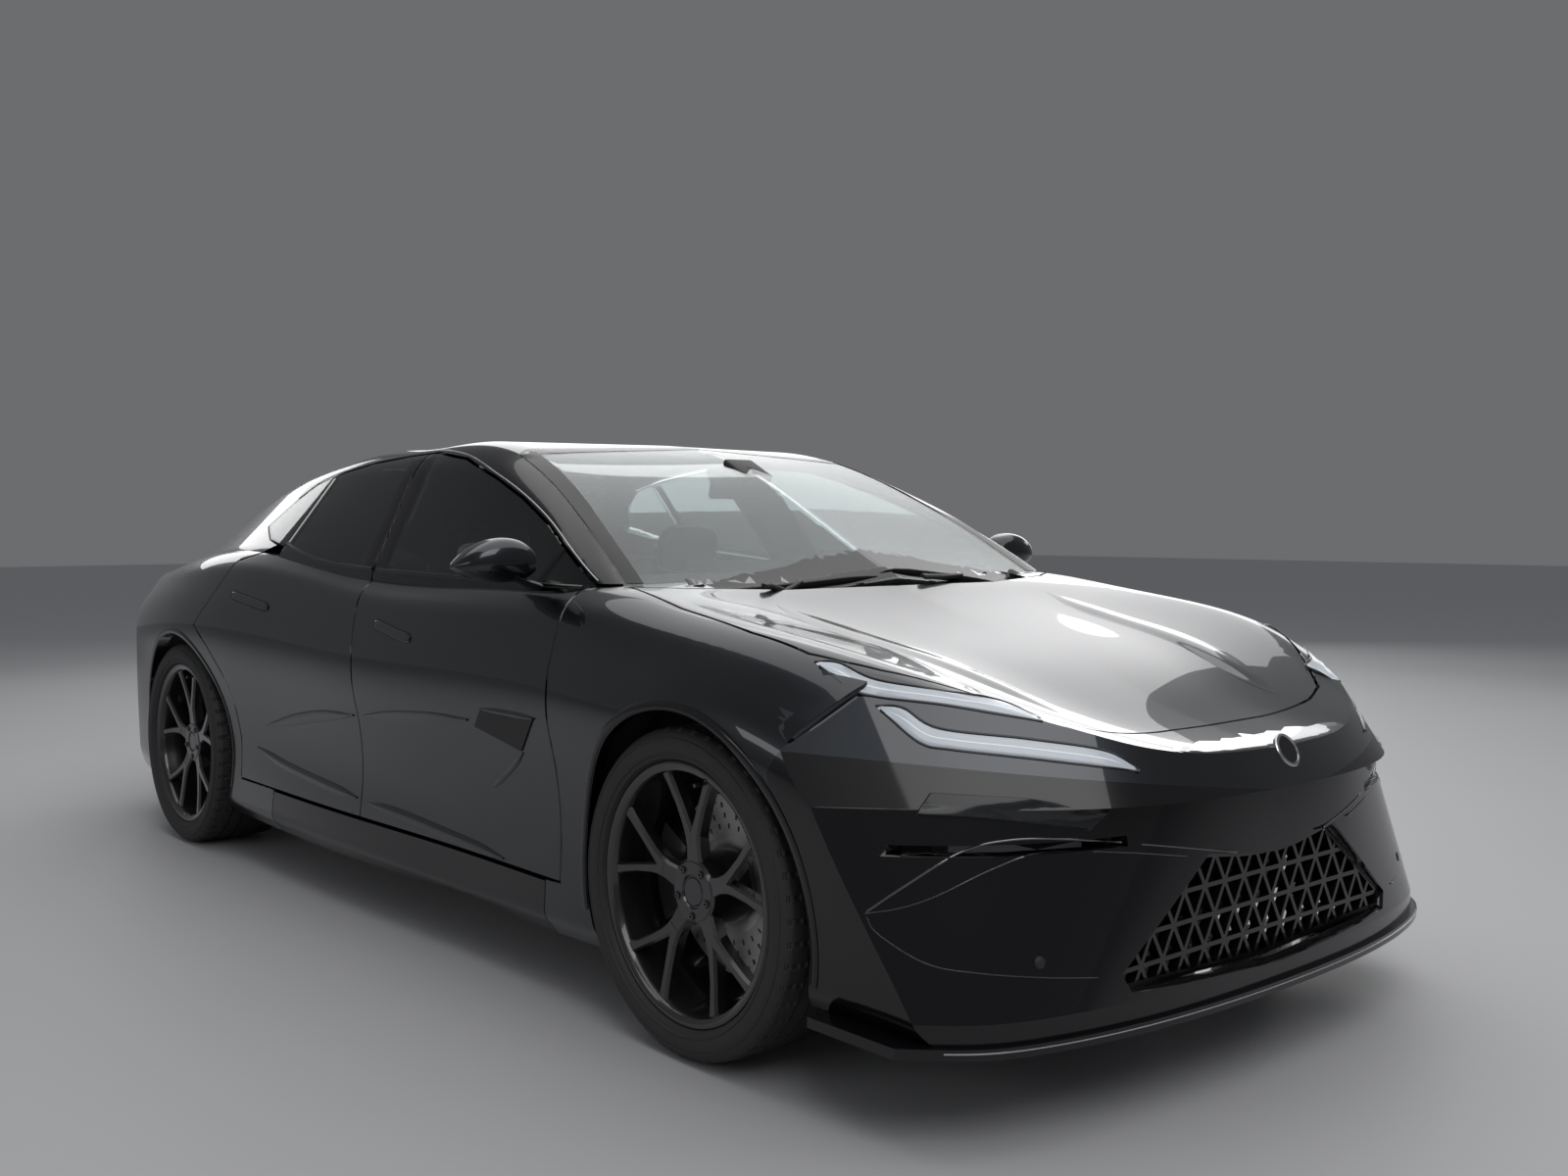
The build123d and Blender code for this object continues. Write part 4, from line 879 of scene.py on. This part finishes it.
# Black border of the windscreen, and the wipers
strips("screen_border", [(top_path(line, s, count), half, 0.8) for line, count, half in (
    ([(1322, 0), (1298, 400), (1244, 640)], 30, 30),
    ([(1180, 762), (950, 718), (690, 662), (440, 616)], 30, 24),
    ([(430, 0), (434, 400), (444, 600)], 20, 26)) for name, s in sides], "body", frit)
wiper_blades, wiper_arms = [], []
for pivot, start, middle, end in (((1350, 90), (1316, 560), (1304, 300), (1318, -40)),
                                  ((1344, -480), (1330, -60), (1306, -320), (1262, -640))):
    wiper_blades.append((top_path([start, middle, end], 1, 24), tapered(4.5), tapered(13)))
    bend = ((pivot[0] + middle[0]) / 2 + 4, (pivot[1] + middle[1]) / 2)
    wiper_arms.append((raised(top_path([pivot, bend, middle], 1, 16), 10), lambda t: 10 - 5 * t, 9))
strips("wiper_blades", wiper_blades, "body", seal)
strips("wiper_arms", wiper_arms, "body", matte_black)


# Lamps that lie in the skin, placed by pixels of the photograph on the right side and mirrored
def median_of_windows(grid):
    padded = np.pad(grid, 2, mode="edge")
    rows, columns = grid.shape
    windows = [padded[a:a + rows, c:c + columns] for a in range(5) for c in range(5)]
    return np.nanmedian(np.stack(windows), axis=0)


def skin_sheet(top, low, along=44, across=9):
    # Grid of (point, normal) on the skin between two lines of pixels, with shut gaps filled
    upper, lower = (eased([(x, y, 0) for x, y in line], along) for line in (top, low))
    rays, normals, depth = [], [], np.zeros((across, along))
    for j in range(across):
        places = [a.lerp(b, j / (across - 1)) for a, b in zip(upper, lower)]
        rays.append([sight(p.x, p.y) for p in places])
        found = [hit(camera.location, ray) for ray in rays[j]]
        depth[j] = [(f[0] - camera.location).length if f else np.nan for f in found]
        normals.append([f[1] if f else Vector((0.7, -0.5, 0.5)) for f in found])
    for sweep in range(3):
        middle = median_of_windows(depth)
        depth = np.where(np.isnan(depth) | (np.abs(depth - middle) > 0.004), middle, depth)
    for sweep in range(3):
        padded = np.pad(depth, ((0, 0), (1, 1)), mode="edge")
        depth = (padded[:, :-2] + 2 * padded[:, 1:-1] + padded[:, 2:]) / 4
    points = [[camera.location + ray * float(d) for ray, d in zip(rays[j], depth[j])] for j in range(across)]
    rows = [[] for j in range(across)]
    for j in range(across):
        for i in range(along):
            u = points[j][min(i + 1, along - 1)] - points[j][max(i - 1, 0)]
            v = points[min(j + 1, across - 1)][i] - points[max(j - 1, 0)][i]
            normal = v.cross(u)
            if normal.length < 1e-9:
                normal = normals[j][i]
            elif normal.dot(rays[j][i]) > 0:
                normal = -normal
            rows[j].append((points[j][i], normal.normalized()))
    return rows


def add_sheet(bm, rows, rise, sink=2.0):
    # Open sheet over a grid of (point, normal): it stands proud of the skin, and its rim is sunk below it
    part = bmesh.new()
    last = len(rows) - 1
    loops = []
    for j, row in enumerate(rows):
        verts = [part.verts.new(p + n * (rise if 0 < i < len(row) - 1 and 0 < j < last else -sink) * mm)
                 for i, (p, n) in enumerate(row)]
        loops.append([part.edges.new((a, b)) for a, b in zip(verts, verts[1:])])
    for a, b in zip(loops, loops[1:]):
        bmesh.ops.bridge_loops(part, edges=a + b)
    bmesh.ops.remove_doubles(part, verts=part.verts, dist=1e-5)
    bmesh.ops.recalc_face_normals(part, faces=part.faces)
    if sum(rows[last // 2][len(rows[0]) // 2][1].dot(f.normal) for f in part.faces) < 0:
        bmesh.ops.reverse_faces(part, faces=part.faces)
    add_to(bm, part)


def both_sheets(rows):
    return rows, [other_side(row) for row in rows]


lamp_skin = panel("front_lamps", "lamp_lenses", "body", [paint, gloss_black])
second_material(lamp_skin, lambda c: c.z < 0.66)
blade_sheets = [sheet for top, low in (
    ([(831, 675), (856, 676), (893, 693), (960, 704), (1020, 714), (1062, 733)],
     [(836, 679), (868, 703), (893, 711), (960, 719), (1020, 729), (1064, 736)]),
    ([(893, 720), (921, 722), (958, 743), (1050, 754), (1128, 766), (1163, 786)],
     [(898, 724), (938, 758), (970, 765), (1050, 774), (1110, 781), (1163, 787)]))
    for sheet in both_sheets(skin_sheet(top, low))]
smoked_sheets = both_sheets(skin_sheet([(948, 807), (1000, 810), (1060, 814), (1137, 826)],
                                       [(930, 834), (1000, 838), (1060, 844), (1112, 849)]))
for name, sheets, rise, sink, material, replaced in (
        ("lamp_blades", blade_sheets, 1.6, 2.0, light_guide, "front_lamps"),
        ("smoked_lamps", smoked_sheets, 7, 6, lamp_smoke, None)):
    bm = bmesh.new()
    for rows in sheets:
        add_sheet(bm, rows, rise, sink)
    piece_from(name, bm, "body", material, 40, replaced)
strips("lamp_outlines", [(rows[end], 2.6, 1.5) for rows in blade_sheets for end in (0, -1)], "body",
       gloss_black)
strips("lamp_guides", [(raised(rows[4][2:-3], 1.4), tapered(1.6, 0.1), 0.7) for rows in blade_sheets], "body",
       lamp_line)

# Lines beside the grille, through pixels of the photograph
nose_rows = []
for line, half, tall in (
        ([(884, 929), (920, 905), (981, 868), (1030, 856), (1092, 855), (1180, 861), (1262, 868)], 2.2, 2.4),
        ([(882, 931), (920, 925), (958, 912), (1012, 886), (1062, 869), (1137, 868), (1211, 872)], 1.6, 2.0),
        ([(884, 934), (896, 952), (945, 982), (1000, 992), (1066, 996), (1120, 996)], 1.4, 1.6)):
    path = skin_sheet(line, [(x, y + 3) for x, y in line], 60, 3)[1]
    nose_rows += [(path, half, tall), (other_side(path), half, tall)]
strips("fascia_lines", nose_rows, "body", dark_chrome)

# Round place on the nose, left blank
roundel_face = 0.0305
place, normal = hit((beyond, 0.0005, 0.700), (-1, 0, 0))
badge = button(((0.01, 3), (29, 3), (30, 2.2), (31, 2.2), (32, 4.2), (37, 3.6), (39, 1.5), (39, -5)), place,
               normal, 48)
badge_piece = piece_from("nose_roundel", badge, "body", [gloss_black, bright_trim])
second_material(badge_piece, lambda c: (c - place).cross(normal).length > roundel_face)

# Parking sensors
sensor_profile = ((0.01, 1.6), (8.5, 1.4), (9.5, 0.6), (10.2, 0.6), (10.8, 1.2), (11.8, 1.0), (12.2, -3))
sensors = bmesh.new()
spot = hit(camera.location, sight(1061, 982))
spots = [spot, *other_side([spot])]
for y in (-640, -240, 240, 640):
    spots += end_path([(y, 470), (y + 1, 470)], -1, 2)[:1]
for place, normal in spots:
    add_to(sensors, button(sensor_profile, place, normal, 24))
piece_from("parking_sensors", sensors, "body", matte_black, 40)

# Bright line of the splitter
strips("splitter_line", [(end_path([(-900, 196), (-700, 196), (0, 196), (700, 196), (900, 196)], 1, 90,
                                   tree_of(["front_splitter"])), 1.6, 2.0)], "body", bright_trim)

# Vent pockets and creases of the doors
vent_rows = (
    ("door_vent_lip", "front", paint, "paint", [
        ([(781, 706), (900, 706), (1040, 704)], 24, tapered(7, 0.3, 0.3), 6),
        ([(956, 608), (880, 556), (778, 494)], 20, tapered(9), 3.5)]),
    ("front_door_creases", "front", paint, "paint", [
        ([(40, 352), (300, 342), (502, 330), (827, 312)], 50, tapered(15, 0.2), 4.5),
        ([(40, 615), (400, 643), (700, 668)], 50, tapered(20, 0.4), 4)]),
    ("rear_door_creases", "rear", paint, "paint", [
        ([(-800, 424), (-640, 398), (-460, 381), (-30, 355)], 50, tapered(15, 0.2), 4.5),
        ([(-720, 506), (-359, 570), (-30, 608)], 50, tapered(20, 0.4), 4)]))
for name, s in sides:
    vent = bmesh.new()
    add_patch(vent, [(734, 655), (781, 703), (1036, 701), (952, 612)], s, 1.0, 2.5)
    piece_from("door_vent_" + name, vent, "door_front_" + name, matte_black)
    door_strips(vent_rows, [(name, s)])

# Door handles that lie flush in the doors
for name, s in sides:
    for body, line in (("door_front_", [(382, 862), (250, 878), (116, 898)]),
                       ("door_rear_", [(-632, 908), (-790, 926), (-952, 946)])):
        base = side_path(line, s, 30)
        strips(body + "handle_gap_" + name, [(base, tapered(17, 0.12, 0.5), 0.7)], body + name, frit)
        strips(body + "handle_" + name, [(base[1:-1], tapered(13.5, 0.12, 0.5), 3.0)], body + name, paint)


# Broad soft ridges of the bonnet
ridge_line = [(1450, 520), (1650, 505), (1900, 475), (2080, 440), (2270, 385)]
ridge_samples = 70
ridge_half_width = 60
ridge_rise = 5
ridge_lift = 0.35
ridge_sink = 1.5


def ridge_shape(t):
    ends = min(1, min(t, 1 - t) * (ridge_samples - 1) / (ridge_samples * 0.25))
    tall = ridge_rise * sin(ends * pi / 2) ** 2
    crown = [(k / 8, ridge_lift + tall * cos(k / 8 * pi / 2) ** 2) for k in range(-8, 9)]
    return ridge_half_width * (0.1 + 0.9 * sin(ends * pi / 2)), [(-1, -ridge_sink), *crown, (1, -ridge_sink)]


ridges = bmesh.new()
for name, s in sides:
    add_along(ridges, top_path(ridge_line, s, ridge_samples), ridge_shape)
bmesh.ops.recalc_face_normals(ridges, faces=ridges.faces)
piece_from("bonnet_ridges", ridges, "bonnet", paint, 50)


# Mirror heads: painted cap, black lower half, glass and foot
def powered(value, power):
    return math.copysign(abs(value) ** power, value)


# Sections of a head: distance out, lowest and highest, back and front
mirror_rows = [(900, 1060, 1120, 868, 948), (915, 1044, 1144, 854, 950), (950, 1038, 1156, 846, 953),
               (990, 1038, 1158, 842, 954), (1030, 1045, 1148, 842, 952), (1068, 1057, 1126, 845, 938),
               (1094, 1068, 1100, 852, 914), (1105, 1076, 1088, 860, 888)]
# Sections of its foot: distance out, middle height, height and half length
foot_rows = ((896, 1030, 26, 62), (915, 1038, 20, 52), (940, 1047, 18, 44), (965, 1056, 22, 46))
foot_x = 905
black_below = 1.072
for name, s in sides:
    door = "door_front_" + name
    node = "mirror_" + name
    bm = bmesh.new()
    bridge_sections(bm, [[Vector((
        (back + front) / 2 + (front - back) / 2 * powered(cos(a), 0.55 if cos(a) < 0 else 0.8), s * y,
        (low + high) / 2 + (high - low) / 2 * powered(sin(a), 0.8))) * mm for a in round_angles(28)]
        for y, low, high, back, front in mirror_rows])
    bmesh.ops.recalc_face_normals(bm, faces=bm.faces)
    bmesh.ops.triangulate(bm, faces=[f for f in bm.faces if len(f.verts) > 4])
    bmesh.ops.smooth_vert(bm, verts=bm.verts, factor=0.3, use_axis_x=True, use_axis_y=True, use_axis_z=True)
    head = piece_from("mirror_head_" + name, bm, door, [paint, gloss_black], 60, node)
    soften = head.modifiers.new("soften", "SUBSURF")
    soften.levels = soften.render_levels = 2
    second_material(head, lambda c: c.z < black_below)
    foot = bmesh.new()
    bridge_sections(foot, [[Vector((foot_x + length * cos(a), s * y, z + height * sin(a) / 2)) * mm
                            for a in round_angles(16)] for y, z, height, length in foot_rows])
    bmesh.ops.recalc_face_normals(foot, faces=foot.faces)
    piece_from("mirror_foot_" + name, foot, door, gloss_black, 50, node)
    pane = bmesh.new()
    bmesh.ops.create_circle(pane, cap_ends=True, radius=1, segments=40)
    for vert in pane.verts:
        a = math.atan2(vert.co.y, vert.co.x)
        vert.co = Vector((0, 76 * powered(cos(a), 0.6), 44 * powered(sin(a), 0.6))) * mm
    bmesh.ops.solidify(pane, geom=pane.faces[:], thickness=4 * mm)
    turn = Matrix.Translation(Vector((841, s * 998, 1098)) * mm) @ Matrix.Rotation(-s * 0.05, 4, "Z")
    bmesh.ops.transform(pane, matrix=turn, verts=pane.verts)
    bmesh.ops.recalc_face_normals(pane, faces=pane.faces)
    piece_from("mirror_glass_" + name, pane, door, mirror_glass, 30, node)


# Cabin: seats, dashboard, steering wheel
def pad(name, size, place, tilt, crown=0.0, bolster=0.0, grooves=(), square=5.0, cuts=15, body="body",
        slot="seat", replaces=None, soft=True):
    # Block of (length, width, thickness): rounded edges, crowned face, raised sides and sewn channels
    bm = bmesh.new()
    bmesh.ops.create_cube(bm, size=2)
    bmesh.ops.subdivide_edges(bm, edges=bm.edges[:], cuts=cuts, use_grid_fill=True)
    for vert in bm.verts:
        u, v, w = vert.co
        far = (abs(u) ** square + abs(v) ** square + abs(w) ** square) ** (1 / square)
        u, v, w = u / far, v / far, w / far
        lift = 0.0
        if w > 0.2:
            sides_up = max(0.0, (abs(v) - 0.55) / 0.45) ** 2 * (1 - u ** 4)
            lift = crown * (1 - u * u) * (1 - v * v) + bolster * sides_up
            for axis, at, depth, width in grooves:
                across, along = (u, v) if axis == "u" else (v, u)
                lift -= depth * math.exp(-((across - at) / width) ** 2) * (1 - along ** 6)
        vert.co = Vector((u * size[0] / 2, v * size[1] / 2, w * size[2] / 2 + lift)) * mm
    turn = Matrix.Translation(Vector(place) * mm) @ Matrix.Rotation(radians(tilt), 4, "Y")
    bmesh.ops.transform(bm, matrix=turn, verts=bm.verts)
    bmesh.ops.recalc_face_normals(bm, faces=bm.faces)
    material, slot = (hide, slot) if soft else (matte_black, "trim_black")
    piece = piece_from(name, bm, body, material, 0, replaces)
    soften = piece.modifiers.new("soften", "SUBSURF")
    soften.levels = soften.render_levels = 1


channels = [("u", at, 9, 0.05) for at in (-0.6, -0.3, 0.0, 0.3, 0.6)]
channels += [("v", at, 12, 0.05) for at in (-0.52, 0.52)]
for name, s in sides:
    for part, size, x, z, tilt, crown, bolster, grooves, square, soft in (
            ("cushion_", (478, 480, 120), 318, 470, -5, 10, 28, channels, 5, True),
            ("back_", (520, 470, 96), -58, 742, -73.5, 8, 34, channels, 5, True),
            ("head_", (180, 250, 84), -132, 1090, -76, 8, 0, [("u", -0.4, 5, 0.07)], 3.6, True),
            ("shell_", (540, 440, 40), -98, 730, -73.5, 0, 0, (), 6, False),
            ("base_", (440, 430, 80), 290, 380, -4, 0, 0, (), 8, False)):
        pad("seat_" + part + name, size, (x, s * 400, z), tilt, crown, bolster, grooves, square,
            replaces="front_seats", soft=soft)
channels = [("u", at, 9, 0.05) for at in (-0.5, 0.0, 0.5)]
channels += [("v", at, 12, 0.02) for at in (-0.72, -0.2, 0.2, 0.72)]
for name, size, place, tilt, crown, bolster, grooves, square, cuts, soft in (
        ("bench_cushion", (430, 1250, 130), (-640, 0, 452), -4, 8, 14, channels, 6, 24, True),
        ("bench_back", (520, 1060, 110), (-905, 0, 760), -71, 8, 16, channels, 6, 24, True),
        ("bench_base", (420, 1180, 60), (-650, 0, 362), 0, 0, 0, (), 8, 15, False),
        ("bench_head_left", (120, 250, 70), (-1012, 330, 985), -72, 6, 0, (), 3.6, 15, True),
        ("bench_head_right", (120, 250, 70), (-1012, -330, 985), -72, 6, 0, (), 3.6, 15, True)):
    pad(name, size, place, tilt, crown, bolster, grooves, square, cuts, replaces="rear_seat", soft=soft)

# Steering wheel: rim flattened below, three spokes, boss and column
column = Vector((560, 400, 905)) * mm
column_turn = Vector((-cos(radians(24)), 0, sin(radians(24)))).to_track_quat("Z", "Y").to_matrix().to_4x4()
flat_below = -0.150
wheel_bm = bmesh.new()
ring = [wheel_bm.verts.new(((181 + 15 * cos(a)) * mm, 0, 13 * sin(a) * mm)) for a in round_angles(14)]
ring_edges = [wheel_bm.edges.new((a, b)) for a, b in zip(ring, ring[1:] + ring[:1])]
bmesh.ops.spin(wheel_bm, geom=ring + ring_edges, cent=(0, 0, 0), axis=(0, 0, 1), angle=2 * pi, steps=72,
               use_merge=True)
bmesh.ops.remove_doubles(wheel_bm, verts=wheel_bm.verts, dist=1e-6)
for vert in wheel_bm.verts:
    if vert.co.y < flat_below:
        vert.co.y = flat_below + (vert.co.y - flat_below) * 0.45
for start, end, half in (((-172, 0), (-48, 0), 19), ((48, 0), (172, 0), 19), ((0, -48), (0, -156), 20)):
    a, b = Vector((*start, 0)), Vector((*end, 0))
    along = (b - a).normalized()
    across = Vector((-along.y, along.x, 0))
    bridge_sections(wheel_bm, [[
        (a.lerp(b, t) + across * half * share * cos(q) + Vector((0, 0, 8 * sin(q)))) * mm
        for q in round_angles(12)] for t, share in ((0, 0.8), (0.3, 0.62), (0.7, 0.62), (1, 0.9))])
boss = ((0.01, 16), (30, 15), (48, 11), (57, 3), (58, -10), (24, -14), (21.8, -20), (21.8, -290),
        (0.01, -290))
add_to(wheel_bm, button(boss, Vector((0, 0, 0)), Vector((0, 0, 1)), 40))
bmesh.ops.recalc_face_normals(wheel_bm, faces=wheel_bm.faces)
bmesh.ops.transform(wheel_bm, matrix=Matrix.Translation(column) @ column_turn, verts=wheel_bm.verts)
piece_from("steering_wheel_rim", wheel_bm, "steering_wheel", hide, 50, "steering_wheel")

# Slabs of the dashboard and the inside mirror: (size, place, tilt, edge radius, segments of the edge)
screen_slabs = [((12, 380, 210), (668, 0, 968), -14, 5), ((10, 300, 62), (770, 400, 1018), -16, 4)]
slat_slabs = [((16, 150 if abs(y) > 400 else 100, 3), (712, y, 916 + 8 * k), 12, 1.2, 2)
              for y in (-560, -250, 250, 560) for k in range(5)]
mirror_slabs = [((22, 236, 62), (664, 0, 1290), 12, 10, 4), ((60, 26, 40), (694, 0, 1332), -30, 6),
                ((120, 110, 26), (700, 0, 1350), 27, 8)]


def slabs(name, rows, material):
    bm = bmesh.new()
    for row in rows:
        add_slab(bm, *row)
    piece_from(name, bm, "body", material, 40)


slabs("cabin_displays", screen_slabs, gloss_black)
slabs("dash_air_slats", slat_slabs, matte_black)
roll_normal = Vector((-0.2, 0, 1)).normalized()
strips("dash_roll", [([(Vector((0.820, y * mm, 1.014)), roll_normal) for y in range(-660, 661, 60)], 60, 12)],
       "body", hide)
slabs("inside_mirror", mirror_slabs, matte_black)
for name, s in sides:
    for place, x, z, length in (("front", 520, 700, 560), ("rear", -470, 730, 460)):
        pad("door_arm_%s_%s" % (place, name), (length, 52, 46), (x, s * 776, z), 0, 3,
            body="door_%s_%s" % (place, name), slot="interior")

# Tail: bright line in the lamp, blank plate in its frame
tail_path = end_path([(y, 884) for y in (-548, -300, 0, 300, 548)], -1, 60, tree_of(["tail_lamp"]))
strips("tail_lamp_line", [(tail_path, 4, 2.2)], "tailgate", tail_line)
plate_z = 560
plate_x = hit((-beyond, 0.0005, plate_z * mm), (1, 0, 0))[0].x / mm
slabs("plate_frame", [((10, 534, 126), (plate_x + 3.5, 0, plate_z), 0, 3)], matte_black)
slabs("blank_plate", [((3, 516, 108), (plate_x - 1.3, 0, plate_z), 0, 1)], plate_blank)


# Stage: pale floor and backdrop, soft light from all sides
floor_bm = bmesh.new()
bmesh.ops.create_grid(floor_bm, x_segments=2, y_segments=2, size=40)
bmesh.ops.translate(floor_bm, verts=floor_bm.verts, vec=(0, 0, -0.0005))
new_object("studio_floor", floor_bm, finish(
    "studio floor", (0.42, 0.42, 0.43), 0.55, drift=0.04, drift_scale=1.2, grain_scale=90, grain=0.06))


def soft_box(name, place, target, size, power):
    light = bpy.data.lights.new(name, "AREA")
    light.shape = "RECTANGLE"
    light.size, light.size_y = size
    light.energy = power
    lamp = bpy.data.objects.new(name, light)
    lamp.location = place
    lamp.rotation_euler = (Vector(target) - Vector(place)).to_track_quat("-Z", "Y").to_euler()
    lamp.visible_camera = False
    bpy.context.scene.collection.objects.link(lamp)


soft_box("overhead_light", (0.2, 1.3, 5.6), (0.2, 1.2, 0), (9.0, 8.0), 250)
soft_box("front_light", (6.1, -1.8, 5.4), (2.2, -0.3, 0.6), (5.0, 3.6), 130)
soft_box("side_light", (0.5, -8.0, 3.0), (0.3, 0, 0.6), (8.0, 1.0), 46)
soft_box("far_light", (-1.0, 8.0, 3.4), (0, 0, 0.6), (8.0, 1.2), 52)
soft_box("sky_light", (-5.6, 6.6, 4.6), (1.8, -0.3, 0.8), (9.0, 7.0), 240)
soft_box("rear_light", (-8.0, 0, 3.2), (-1.5, 0, 0.6), (3.4, 1.2), 26)

# Backdrop: one colour for what is seen directly, in gloss and through glass, another for the light it gives
world = bpy.data.worlds.new("studio")
bpy.context.scene.world = world
world.use_nodes = True
tree = world.node_tree
background = tree.nodes["Background"]
background.inputs["Strength"].default_value = 0.30
background.inputs["Color"].default_value = (0.78, 0.80, 0.84, 1)
backdrop = add_node(tree, "Background", {"Color": (0.15, 0.152, 0.158, 1), "Strength": 1.0})
rays = add_node(tree, "LightPath", {}).outputs
either = add_node(tree, "Math", {0: rays["Is Camera Ray"], 1: rays["Is Glossy Ray"]}, "MAXIMUM")
seen = add_node(tree, "Math", {0: either.outputs[0], 1: rays["Is Transmission Ray"]}, "MAXIMUM")
mix = add_node(tree, "MixShader", {0: seen.outputs[0], 1: background.outputs[0], 2: backdrop.outputs[0]})
tree.links.new(mix.outputs[0], tree.nodes["World Output"].inputs["Surface"])
